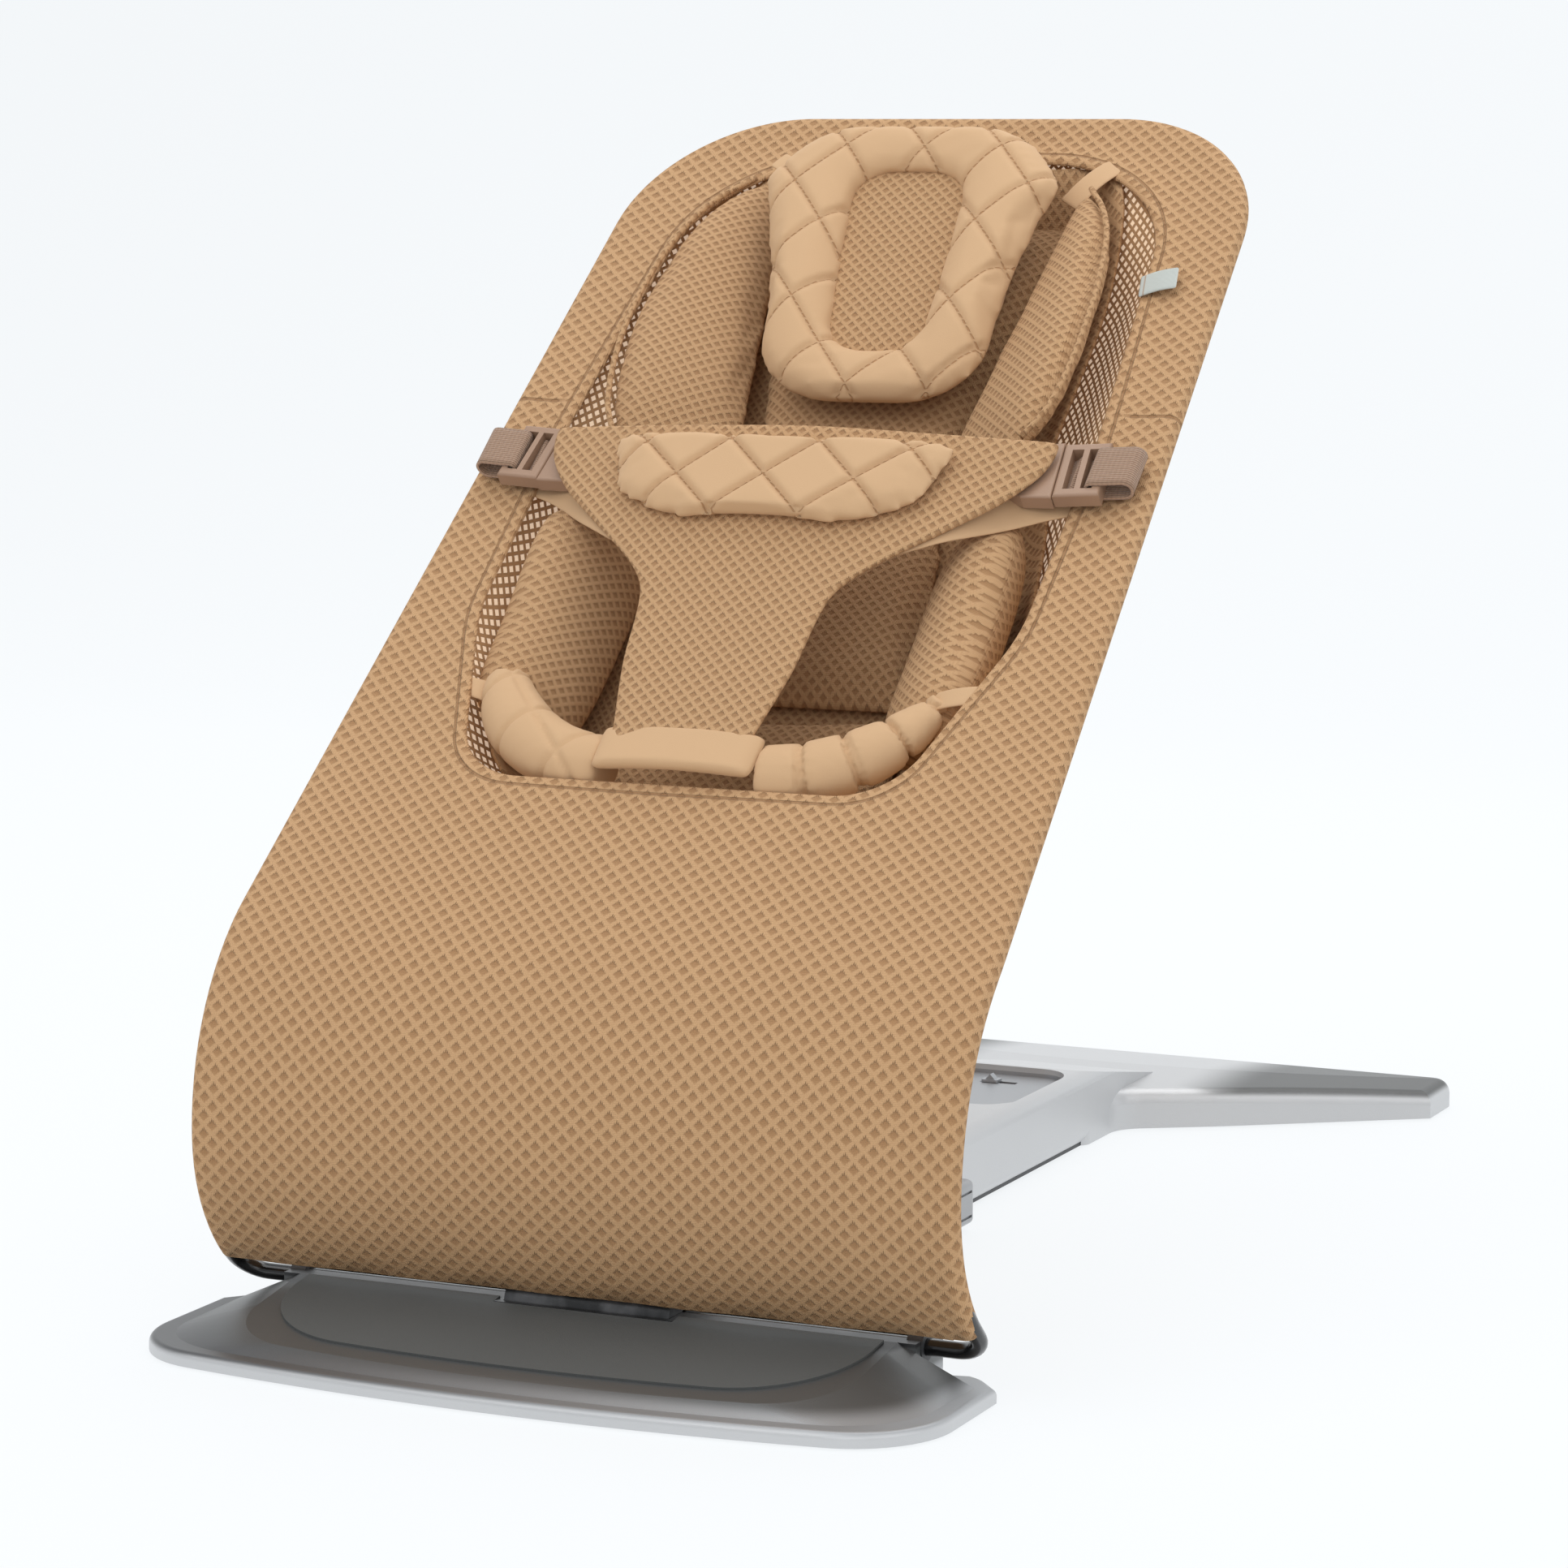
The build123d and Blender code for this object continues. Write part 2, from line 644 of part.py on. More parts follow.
with BuildPart() as bulkhead:
    with BuildSketch(Plane.XZ.offset(-bulkhead_y)):
        with Locations((0, (spine_under + wall + spine_top - wall) / 2)):
            Rectangle(2 * (spine_half_width - wall - gap), spine_top - spine_under - 2 * wall - 2 * gap)
        with Locations((0, rod_height)):
            Circle(rod_radius + gap, mode=Mode.SUBTRACT)
    extrude(amount=-bulkhead_thickness)
save(bulkhead, "spring_bulkhead")

latch_spring_front = plunger_front + plunger_length + gap + latch_spring_wire / 2
latch_spring_rear = bulkhead_y - gap - latch_spring_wire / 2
latch_spring_pitch = (latch_spring_rear - latch_spring_front) / (latch_spring_coils - 1)

with BuildPart() as latch_spring:
    for coil in range(latch_spring_coils):
        with BuildSketch(Plane.XY.offset(rod_height)):
            coil_y = latch_spring_front + coil * latch_spring_pitch
            with Locations((rod_radius + 0.4 + latch_spring_wire / 2, coil_y)):
                Circle(latch_spring_wire / 2)
        revolve(axis=Axis((0, 0, rod_height), (0, 1, 0)), revolution_arc=360)
save(latch_spring, "latch_spring")

# ---------------------------------------------------------------- pivot wire and detent
wire_half_width = seat_half_width - edge_inset
root_half_width = wire_half_width + 2.5
elbow_radius = 14.0
notch_count = 3
notch_step = 16.0
root_end = Vector(0, bend_y - upper_bend + lower_bend, bend_z)
root_turn = math.radians(hem_sweep)
root_tip_y = root_end.Y - lower_bend * math.cos(root_turn)
root_tip_z = bend_z - lower_bend * math.sin(root_turn)

with BuildPart() as pivot_wire:
    with BuildLine() as pivot_path:
        FilletPolyline(
            (-root_half_width, root_tip_y, root_tip_z),
            (-root_half_width, pivot_y, pivot_height),
            (root_half_width, pivot_y, pivot_height),
            (root_half_width, root_tip_y, root_tip_z),
            radius=elbow_radius,
        )
    with BuildSketch(Plane(origin=pivot_path.line @ 0, z_dir=pivot_path.line % 0)):
        Circle(wire_radius)
    sweep(path=pivot_path.line)
save(pivot_wire, "pivot_wire")

with BuildPart() as detent:
    with BuildSketch(Plane.YZ.offset(-plunger_half_width)):
        with Locations((pivot_y, pivot_height)):
            Circle(detent_radius)
            Circle(wire_radius + running, mode=Mode.SUBTRACT)
        for notch in range(notch_count):
            turn = math.radians(notch * notch_step)
            notch_y = pivot_y + detent_radius * math.cos(turn)
            notch_z = pivot_height + detent_radius * math.sin(turn)
            with Locations((notch_y, notch_z)):
                Circle(2.2, mode=Mode.SUBTRACT)
    extrude(amount=2 * plunger_half_width)
save(detent, "detent_disc")

# ---------------------------------------------------------------- seat frame
root_clear = math.degrees(root_split / lower_bend)
wire_hem_sweep = hem_sweep - root_clear
hoop_inset = edge_inset + 1.0
socket_length = 40.0

taper_turn = math.atan(side_taper)
wire_plane = Plane(
    origin=seat_origin + Vector(wire_half_width, 0, 0),
    x_dir=along * math.cos(taper_turn) - Vector(math.sin(taper_turn), 0, 0),
    z_dir=Vector(math.cos(taper_turn), 0, 0) + along * math.sin(taper_turn),
)

with BuildPart() as side_wire:
    with BuildLine(wire_plane) as side_path:
        straight = Line((seam_at, 0), (0, 0))
        upper_arc = JernArc(start=straight @ 1, tangent=(-1, 0), radius=upper_bend, arc_size=upper_sweep)
        JernArc(start=upper_arc @ 1, tangent=upper_arc % 1, radius=lower_bend, arc_size=wire_hem_sweep)
    with BuildSketch(Plane(origin=side_path.line @ 0, z_dir=side_path.line % 0)):
        Circle(wire_radius)
    sweep(path=side_path.line)
save_mirrored(side_wire, "side_wire")

hoop_top = seat_length - hoop_inset
hoop_bottom_half = seat_width_at(seam_at) - edge_inset
hoop_top_half = hoop_bottom_half - side_taper * (hoop_top - seam_at)

with BuildPart() as hoop:
    with BuildLine(seat_plane) as hoop_path:
        FilletPolyline(
            (-hoop_bottom_half, seam_at + gap),
            (-hoop_top_half, hoop_top),
            (hoop_top_half, hoop_top),
            (hoop_bottom_half, seam_at + gap),
            radius=seat_corner - hoop_inset,
        )
    with BuildSketch(Plane(origin=hoop_path.line @ 0, z_dir=hoop_path.line % 0)):
        Circle(wire_radius)
        Circle(wire_radius - 1.2, mode=Mode.SUBTRACT)
    sweep(path=hoop_path.line)
save(hoop, "top_hoop")

with BuildPart() as socket:
    with BuildSketch(Plane(origin=wire_plane.from_local_coords((seam_at - socket_length / 2, 0, 0)),
                           z_dir=wire_plane.x_dir)):
        Circle(wire_radius + sleeve_wall)
        Circle(wire_radius + running, mode=Mode.SUBTRACT)
    extrude(amount=socket_length)
save_mirrored(socket, "frame_sleeve")

# ---------------------------------------------------------------- seat cover
opening_foot = 92.0          # opening's lower edge, up the straight run
opening_top = 536.0
opening_low_half = 112.0
opening_wide_half = 146.0
opening_wide_low = 200.0
opening_wide_high = 330.0
opening_top_half = 132.0

with BuildSketch() as opening_plan:
    with BuildLine():
        Polyline(
            (-opening_low_half, opening_foot),
            (opening_low_half, opening_foot),
            (opening_wide_half, opening_wide_low),
            (opening_wide_half, opening_wide_high),
            (opening_top_half, opening_top),
            (-opening_top_half, opening_top),
            (-opening_wide_half, opening_wide_high),
            (-opening_wide_half, opening_wide_low),
            (-opening_low_half, opening_foot),
        )
    make_face()
    fillet(opening_plan.vertices().group_by(Axis.Y)[0], radius=40)
    fillet(opening_plan.vertices().group_by(Axis.Y)[-1], radius=80)
    fillet(opening_plan.vertices().filter_by_position(Axis.Y, 199, 331), radius=110)

with BuildPart() as cover:
    with BuildSketch(side_plane):
        with BuildLine():
            front_run = Line((seat_length, sheet_front), (0, sheet_front))
            front_upper = JernArc(
                start=front_run @ 1, tangent=(-1, 0), radius=upper_bend + sheet_front, arc_size=upper_sweep
            )
            front_lower = JernArc(
                start=front_upper @ 1,
                tangent=front_upper % 1,
                radius=lower_bend + sheet_front,
                arc_size=hem_sweep,
            )
            back_run = Line((seat_length, sheet_back), (0, sheet_back))
            back_upper = JernArc(
                start=back_run @ 1, tangent=(-1, 0), radius=upper_bend + sheet_back, arc_size=upper_sweep
            )
            back_lower = JernArc(
                start=back_upper @ 1,
                tangent=back_upper % 1,
                radius=lower_bend + sheet_back,
                arc_size=hem_sweep,
            )
            Line(front_run @ 0, back_run @ 0)
            Line(front_lower @ 1, back_lower @ 1)
        make_face()
    extrude(amount=seat_half_width + 2, both=True)
    with BuildSketch(seat_plane) as cover_outline:
        Polygon(
            (-seat_half_width, -base_length),
            (seat_half_width, -base_length),
            (seat_half_width, 0),
            (seat_top_half, seat_length),
            (-seat_top_half, seat_length),
            (-seat_half_width, 0),
            align=None,
        )
        fillet(cover_outline.vertices().group_by(Axis.Y)[-1], radius=seat_corner)
    extrude(amount=base_length, both=True, mode=Mode.INTERSECT)
    with BuildSketch(seat_plane):
        add(opening_plan.sketch)
    extrude(amount=60, both=True, mode=Mode.SUBTRACT)
save(cover, "seat_cover")

# ---------------------------------------------------------------- mesh bucket behind the opening
bucket_flange = 3.0          # mesh laps under the cover's edge
bucket_draft = 8.0
bucket_deep = 62.0
bucket_deep_to = 180.0
bucket_shallow = 26.0
bucket_rim = sheet_back - gap


def bucket_floor_at(up):
    fall = (bucket_deep - bucket_shallow) / (opening_top - bucket_deep_to)
    return -bucket_deep + max(0, up - bucket_deep_to) * fall


def bucket_side(lift):
    with BuildSketch(side_plane) as side:
        Polygon(
            (opening_foot - 20, bucket_rim + 10),
            (opening_foot - 20, -bucket_deep + lift),
            (bucket_deep_to, -bucket_deep + lift),
            (opening_top + 20, bucket_floor_at(opening_top + 20) + lift),
            (opening_top + 20, bucket_rim + 10),
            align=None,
        )
    return side.sketch


with BuildPart() as bucket_hollow:
    with BuildSketch(seat_plane.offset(bucket_rim + 1)):
        offset(opening_plan.sketch, amount=bucket_flange - cloth)
    extrude(amount=-bucket_deep - 20, taper=bucket_draft)
    add(extrude(bucket_side(cloth), amount=200, both=True, mode=Mode.PRIVATE), mode=Mode.INTERSECT)

with BuildPart() as bucket:
    with BuildSketch(seat_plane.offset(bucket_rim)):
        offset(opening_plan.sketch, amount=bucket_flange)
    extrude(amount=-bucket_deep - 20, taper=bucket_draft)
    add(extrude(bucket_side(0), amount=200, both=True, mode=Mode.PRIVATE), mode=Mode.INTERSECT)
    add(bucket_hollow.part, mode=Mode.SUBTRACT)
save(bucket, "mesh_bucket")

# ---------------------------------------------------------------- insert: back pad, wings, seat
back_pad_low = bucket_deep_to + gap
back_pad_high = 508.0
back_pad_half = 60.0
back_pad_thickness = 16.0

with BuildPart() as back_pad:
    with BuildSketch(side_plane):
        Polygon(
            (back_pad_low, bucket_floor_at(back_pad_low) + cloth + gap),
            (back_pad_high, bucket_floor_at(back_pad_high) + cloth + gap),
            (back_pad_high, bucket_floor_at(back_pad_high) + cloth + gap + back_pad_thickness),
            (back_pad_low, bucket_floor_at(back_pad_low) + cloth + gap + back_pad_thickness),
            align=None,
        )
    extrude(amount=back_pad_half, both=True)
save(back_pad, "insert_back_pad")

head_wing_low = 322.0
head_wing_high = 500.0
head_wing_low_reach = 128.0
head_wing_high_reach = 110.0
wing_sections = (
    (head_wing_low, head_wing_low_reach),
    (head_wing_high, head_wing_high_reach),
)

with BuildPart() as head_wing:
    for wing_up, wing_reach in wing_sections:
        with BuildSketch(cross_plane.offset(-wing_up)):
            Polygon(
                (back_pad_half + gap, bucket_floor_at(wing_up) + 14),
                (back_pad_half + 18, bucket_floor_at(wing_up) + 14),
                (wing_reach, 0),
                (wing_reach - 3, 12),
                (wing_reach - 20, 6),
                align=None,
            )
    loft(ruled=True)
save_mirrored(head_wing, "head_wing")

seat_pad_low = 122.0
seat_pad_half = 72.0
seat_pad_thickness = 14.0

with BuildPart() as seat_pad:
    with BuildSketch(seat_plane.offset(-bucket_deep + cloth + gap)):
        with Locations((0, (seat_pad_low + bucket_deep_to) / 2)):
            RectangleRounded(2 * seat_pad_half, bucket_deep_to - seat_pad_low, 24)
    extrude(amount=seat_pad_thickness)
save(seat_pad, "insert_seat_pad")

bolster_low = 158.0
bolster_high = 268.0
bolster_inner = 86.0
bolster_outer = 124.0
bolster_bottom = -42.0
bolster_top = -6.0

with BuildPart() as bolster:
    with BuildSketch(cross_plane.offset(-bolster_low)):
        Polygon(
            (bolster_inner, bolster_bottom),
            (bolster_outer - 3, bolster_bottom),
            (bolster_outer, bolster_top),
            (bolster_inner + 14, bolster_top),
            align=None,
        )
    extrude(amount=-(bolster_high - bolster_low))
save_mirrored(bolster, "thigh_bolster")

roll_low = 97.0
roll_high = 152.0
roll_top = 6.0
roll_bottom = -12.0

with BuildPart() as roll:
    with BuildSketch(seat_plane.offset(roll_bottom)) as roll_plan:
        Polygon(
            (-113, roll_high),
            (-86, roll_high),
            (-62, roll_low + 29),
            (62, roll_low + 29),
            (86, roll_high),
            (113, roll_high),
            (96, roll_low + 14),
            (76, roll_low),
            (-76, roll_low),
            (-96, roll_low + 14),
            align=None,
        )
        fillet(roll_plan.vertices().group_by(Axis.Y)[-1], radius=8)
    extrude(amount=roll_top - roll_bottom)
save(roll, "seat_roll")

# ---------------------------------------------------------------- head pillow
pillow_tilt = 5.0
pillow_low = 338.0
pillow_length = 208.0
pillow_low_half = 66.0
pillow_high_half = 85.0
pillow_thickness = 15.0
pillow_hole_half = 38.0
pillow_hole_length = 134.0
pillow_hole_low = 36.0
pillow_lift = 0.0

pillow_plane = Plane(
    origin=seat_plane.from_local_coords((0, pillow_low, pillow_lift)),
    x_dir=(1, 0, 0),
    z_dir=facing.rotate(Axis.X, pillow_tilt),
)

with BuildPart() as pillow:
    with BuildSketch(pillow_plane) as pillow_plan:
        Polygon(
            (-pillow_low_half, 0),
            (pillow_low_half, 0),
            (pillow_high_half, pillow_length * 0.7),
            (pillow_high_half, pillow_length),
            (-pillow_high_half, pillow_length),
            (-pillow_high_half, pillow_length * 0.7),
            align=None,
        )
        fillet(pillow_plan.vertices().group_by(Axis.Y)[-1], radius=52)
        fillet(pillow_plan.vertices().group_by(Axis.Y)[0], radius=30)
        with Locations((0, pillow_hole_low + pillow_hole_length / 2)):
            RectangleRounded(2 * pillow_hole_half, pillow_hole_length, 24, mode=Mode.SUBTRACT)
    extrude(amount=pillow_thickness)
save(pillow, "head_pillow")

# ---------------------------------------------------------------- harness panel, bib, lining, crotch band
harness_foot = 118.0         # lower end of the panel, up the straight run
harness_foot_lift = 12.0
harness_tilt = 6.5
harness_bow = 14.0           # the panel bows out this much across its wings
harness_wing = 138.0
harness_top = 192.0          # top edge, up the panel from its foot
harness_thickness = 4.0
harness_radius = (harness_wing ** 2 + harness_bow ** 2) / (2 * harness_bow)

harness_facing = facing.rotate(Axis.X, harness_tilt)
harness_along = along.rotate(Axis.X, harness_tilt)
harness_plane = Plane(
    origin=seat_plane.from_local_coords((0, harness_foot, harness_foot_lift)),
    x_dir=(1, 0, 0),
    z_dir=harness_facing,
)
harness_cross = Plane(origin=harness_plane.origin, x_dir=(1, 0, 0), z_dir=-harness_along)


def bowed_sheet(back, thick):
    # a layer of the harness, bowed across the seat, before it is cut to its outline
    with BuildPart() as sheet:
        with BuildSketch(harness_cross.offset(20)):
            with Locations((0, -harness_radius)):
                Circle(harness_radius + back + thick)
                Circle(harness_radius + back, mode=Mode.SUBTRACT)
            Rectangle(2 * harness_wing, 4 * harness_bow, mode=Mode.INTERSECT)
        extrude(amount=-harness_top - 60)
    return sheet.part


def harness_layer(outline, back, thick):
    with BuildPart() as layer:
        with BuildSketch(harness_plane):
            add(outline)
        extrude(amount=80, both=True)
        add(bowed_sheet(back, thick), mode=Mode.INTERSECT)
    return layer


with BuildSketch() as harness_plan:
    Polygon(
        (-37, 0),
        (37, 0),
        (46, 40),
        (51, 84),
        (78, 116),
        (118, 148),
        (harness_wing - 1, 180),
        (harness_wing - 1, harness_top),
        (-harness_wing + 1, harness_top),
        (-harness_wing + 1, 180),
        (-118, 148),
        (-78, 116),
        (-51, 84),
        (-46, 40),
        align=None,
    )
    fillet(harness_plan.vertices().filter_by_position(Axis.Y, 39, 149), radius=20)
harness = harness_layer(harness_plan.sketch, 0, harness_thickness)
save(harness, "harness_panel")

bib_half = 94.0
bib_low_half = 62.0
bib_height = 52.0
bib_thickness = 7.0

with BuildSketch() as bib_plan:
    Polygon(
        (-bib_low_half, harness_top - bib_height),
        (bib_low_half, harness_top - bib_height),
        (bib_half, harness_top - 2),
        (-bib_half, harness_top - 2),
        align=None,
    )
    fillet(bib_plan.vertices().group_by(Axis.Y)[0], radius=22)
bib = harness_layer(bib_plan.sketch, harness_thickness + gap, bib_thickness)
save(bib, "harness_bib")

with BuildSketch() as lining_plan:
    Polygon(
        (-70, 118),
        (70, 118),
        (112, 140),
        (harness_wing - 28, 158),
        (harness_wing - 28, harness_top - 2),
        (-harness_wing + 28, harness_top - 2),
        (-harness_wing + 28, 158),
        (-112, 140),
        align=None,
    )
lining = harness_layer(lining_plan.sketch, -gap - 1.5, 1.5)
save(lining, "harness_lining")

crotch_half = 43.0
crotch_low = 96.0
crotch_high = harness_foot - 1.0

with BuildPart() as crotch:
    with BuildSketch(seat_plane.offset(roll_top + gap)):
        with Locations((0, (crotch_low + crotch_high) / 2)):
            Rectangle(2 * crotch_half, crotch_high - crotch_low)
    extrude(amount=harness_foot_lift + harness_thickness - roll_top - gap)
save(crotch, "crotch_band")

# ---------------------------------------------------------------- buckles, straps, tag, loops
strap_up = 298.0             # height of the buckles up the straight run
strap_tilt = 5.0
strap_width = 25.0
strap_thickness = 1.5
buckle_lift = sheet_front + strap_thickness + 3 * gap
buckle_thickness = 8.0
buckle_width = 38.0
socket_inner_end = 113.0
socket_outer_end = 139.0
clip_outer_end = 163.0
arm_reach = 20.0
arm_width = 5.0
ladder_bar = 3.0

buckle_plane = Plane(
    origin=seat_plane.from_local_coords((socket_outer_end, strap_up, buckle_lift)),
    x_dir=Vector(1, 0, 0) * math.cos(math.radians(strap_tilt)) + along * math.sin(math.radians(strap_tilt)),
    z_dir=facing,
)
facing_axis = Axis((0, 0, 0), facing)
socket_depth = socket_outer_end - socket_inner_end
clip_depth = clip_outer_end - socket_outer_end

with BuildPart() as buckle_socket:
    with BuildSketch(buckle_plane):
        Polygon(
            (0, -buckle_width / 2),
            (0, buckle_width / 2),
            (-socket_depth * 0.6, buckle_width / 2 - 1),
            (-socket_depth, buckle_width / 2 - 6),
            (-socket_depth, -buckle_width / 2 + 6),
            (-socket_depth * 0.6, -buckle_width / 2 + 1),
            align=None,
        )
    extrude(amount=buckle_thickness)
    fillet(buckle_socket.faces().sort_by(facing_axis)[-1].edges(), radius=1.2)
    with BuildSketch(buckle_plane.offset(2)):
        with Locations((-arm_reach / 2 + 0.5, 0)):
            Rectangle(arm_reach + 1.6, buckle_width - 8)
    extrude(amount=buckle_thickness - 4, mode=Mode.SUBTRACT)
save_mirrored(buckle_socket, "buckle_socket")

with BuildPart() as buckle_clip:
    with BuildSketch(buckle_plane):
        with Locations((gap + (clip_depth - gap) / 2, 0)):
            Rectangle(clip_depth - gap, buckle_width - 2)
    extrude(amount=buckle_thickness)
    fillet(buckle_clip.faces().sort_by(facing_axis)[-1].edges(), radius=1.5)
    # two windows leave three ladder bars for the strap
    with BuildSketch(buckle_plane):
        for window in range(2):
            with Locations((gap + ladder_bar + 4.6 + window * (6.0 + ladder_bar), 0)):
                Rectangle(6.0, strap_width + 2)
    extrude(amount=buckle_thickness, mode=Mode.SUBTRACT)
    # latch arms and tongue, inside the socket
    with BuildSketch(buckle_plane.offset(2 + gap)):
        for arm in (-1, 0, 1):
            with Locations((-arm_reach / 2 + 0.5, arm * (buckle_width / 2 - 4 - gap - arm_width / 2))):
                Rectangle(arm_reach + 1, arm_width)
    extrude(amount=buckle_thickness - 4 - 2 * gap)
save_mirrored(buckle_clip, "buckle_clip")

loop_outer = 180.0
loop_start = clip_depth - ladder_bar - 6.0

with BuildPart() as strap_loop:
    with BuildSketch(Plane(origin=buckle_plane.from_local_coords((0, -strap_width / 2, 0)),
                           x_dir=buckle_plane.x_dir, z_dir=-buckle_plane.y_dir)):
        with Locations(((loop_start + loop_outer - socket_outer_end) / 2 + 1, buckle_thickness / 2)):
            RectangleRounded(
                loop_outer - socket_outer_end - loop_start - 2,
                buckle_thickness + 2 * gap + 2 * strap_thickness,
                3.0,
            )
            RectangleRounded(
                loop_outer - socket_outer_end - loop_start - 2 - 2 * strap_thickness,
                buckle_thickness + 2 * gap,
                1.5,
                mode=Mode.SUBTRACT,
            )
    extrude(amount=-strap_width)
save_mirrored(strap_loop, "strap_loop")

tag_width = 19.0
tag_height = 15.0

with BuildPart() as tag:
    with BuildSketch(seat_plane.offset(sheet_front + gap)):
        with Locations((146, 442)):
            Rectangle(tag_width, tag_height)
    extrude(amount=1.0)
save(tag, "fabric_tag")

with BuildPart() as loops:
    for side in (-1, 1):
        with BuildSketch(seat_plane.offset(bucket_rim - 3.5)):
            with Locations((side * 100, 506)):
                Rectangle(10, 12)
            with Locations((side * 124, 158)):
                Rectangle(8, 14)
        extrude(amount=3.0)
save(loops, "insert_loops")
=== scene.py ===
import math

import bmesh
import bpy
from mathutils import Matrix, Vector, noise


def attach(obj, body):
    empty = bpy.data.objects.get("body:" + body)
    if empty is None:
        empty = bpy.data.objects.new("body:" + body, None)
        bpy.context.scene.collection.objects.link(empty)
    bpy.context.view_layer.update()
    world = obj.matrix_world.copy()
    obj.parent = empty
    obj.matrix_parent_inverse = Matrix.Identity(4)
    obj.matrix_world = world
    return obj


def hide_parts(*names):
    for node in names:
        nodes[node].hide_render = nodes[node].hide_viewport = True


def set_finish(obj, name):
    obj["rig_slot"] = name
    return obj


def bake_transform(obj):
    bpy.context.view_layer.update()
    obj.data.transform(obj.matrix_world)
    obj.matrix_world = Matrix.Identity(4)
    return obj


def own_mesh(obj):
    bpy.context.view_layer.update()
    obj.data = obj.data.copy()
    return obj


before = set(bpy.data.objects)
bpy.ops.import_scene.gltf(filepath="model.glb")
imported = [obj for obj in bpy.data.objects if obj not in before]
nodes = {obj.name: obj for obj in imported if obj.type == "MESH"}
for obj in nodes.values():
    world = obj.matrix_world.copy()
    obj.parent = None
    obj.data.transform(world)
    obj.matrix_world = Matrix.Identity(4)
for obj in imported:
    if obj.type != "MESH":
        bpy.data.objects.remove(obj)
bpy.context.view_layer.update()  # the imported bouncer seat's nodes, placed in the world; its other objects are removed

# A baby bouncer: knitted cover on a black wire, an insert with pads, and a silver base.
# Metres, +Z up, front towards -Y.  On the seat, "across" is x, "up" runs along the cover from
# the foot of its straight run and "out" stands away from its front face.

scene = bpy.context.scene

seatLine = {
    "slope": math.radians(40.8),
    "originY": -0.293058,
    "originZ": 0.196437,
    "upperBend": 0.134,
    "upperSweep": math.radians(49.2),
    "lowerBend": 0.085,
    "wireOut": 0.0057,      # cloth stands this far from the wire's axis
}
alongSeat = Vector((0, math.cos(seatLine["slope"]), math.sin(seatLine["slope"])))
facingSeat = Vector((0, -math.sin(seatLine["slope"]), math.cos(seatLine["slope"])))
seatOrigin = Vector((0, seatLine["originY"], seatLine["originZ"]))


def seatPoint(across, up, out):
    if up >= 0:
        return seatOrigin + Vector((across, 0, 0)) + alongSeat * up + facingSeat * out
    centre = seatOrigin - facingSeat * seatLine["upperBend"]
    upperRun = seatLine["upperBend"] * seatLine["upperSweep"]
    if -up <= upperRun:
        turn = seatLine["slope"] - up / seatLine["upperBend"]
        radius = seatLine["upperBend"] + out
    else:
        turn = math.pi / 2 + (-up - upperRun) / seatLine["lowerBend"]
        radius = seatLine["lowerBend"] + out
        centre = centre - Vector((0, seatLine["upperBend"] - seatLine["lowerBend"], 0))
    return centre + Vector((across, -math.sin(turn) * radius, math.cos(turn) * radius))


def onSeat(point):
    # seat coordinates of a point near the straight run
    away = Vector(point) - seatOrigin
    return away.x, away.dot(alongSeat), away.dot(facingSeat)


def smooth(low, high, value):
    t = min(1.0, max(0.0, (value - low) / (high - low)))
    return t * t * (3 - 2 * t)


def between(pairs, value):
    # a soft curve through (place, value) pairs
    value = min(max(value, pairs[0][0]), pairs[-1][0])
    last = len(pairs) - 1
    slopes = []
    for i in range(last + 1):
        low, high = pairs[max(i - 1, 0)], pairs[min(i + 1, last)]
        slopes.append((high[1] - low[1]) / (high[0] - low[0]))
    for i in range(last):
        (placeA, a), (placeB, b) = pairs[i], pairs[i + 1]
        if value <= placeB:
            run = placeB - placeA
            t = (value - placeA) / run
            return (a * (1 + 2 * t) * (1 - t) ** 2 + b * t * t * (3 - 2 * t)
                    + slopes[i] * run * t * (1 - t) ** 2 - slopes[i + 1] * run * t * t * (1 - t))
    return pairs[last][1]


# ---- outlines
def roundCorners(corners, radii, step=0.004):
    # a closed outline whose corners are turned on their own radii
    outline = []
    count = len(corners)
    for i, radius in enumerate(radii):
        here = Vector(corners[i])
        back = (Vector(corners[i - 1]) - here).normalized()
        ahead = (Vector(corners[(i + 1) % count]) - here).normalized()
        half = back.angle(ahead) / 2
        if radius == 0:
            outline.append(here)
            continue
        cut = radius / math.tan(half)
        middle = here + (back + ahead).normalized() * radius / math.sin(half)
        start = here + back * cut - middle
        end = here + ahead * cut - middle
        sweep = start.angle_signed(end)
        pieces = max(2, int(abs(sweep) * radius / step))
        startTurn = math.atan2(start.y, start.x)
        for k in range(pieces + 1):
            turn = startTurn - sweep * k / pieces
            outline.append(middle + Vector((math.cos(turn), math.sin(turn))) * radius)
    return outline


def spaced(outline, step, closed=True):
    # the same outline with evenly spaced points, its corners kept
    points = []
    ends = outline[1:] + outline[:1] if closed else outline[1:]
    for a, b in zip(outline, ends):
        pieces = max(1, round((b - a).length / step))
        points += [a.lerp(b, k / pieces) for k in range(pieces)]
    if not closed:
        points.append(outline[-1])
    return points


def rayHit(outline, centre, towards):
    # where the line from centre through towards leaves the outline
    direction = (towards - centre).normalized()
    best = 0.0
    for a, b in zip(outline, outline[1:] + outline[:1]):
        edge = b - a
        cross = direction.x * edge.y - direction.y * edge.x
        if abs(cross) < 1e-12:
            continue
        gap = a - centre
        reach = (gap.x * edge.y - gap.y * edge.x) / cross
        side = (gap.x * direction.y - gap.y * direction.x) / cross
        if -1e-6 <= side <= 1 + 1e-6 and reach > best:
            best = reach
    return centre + direction * best


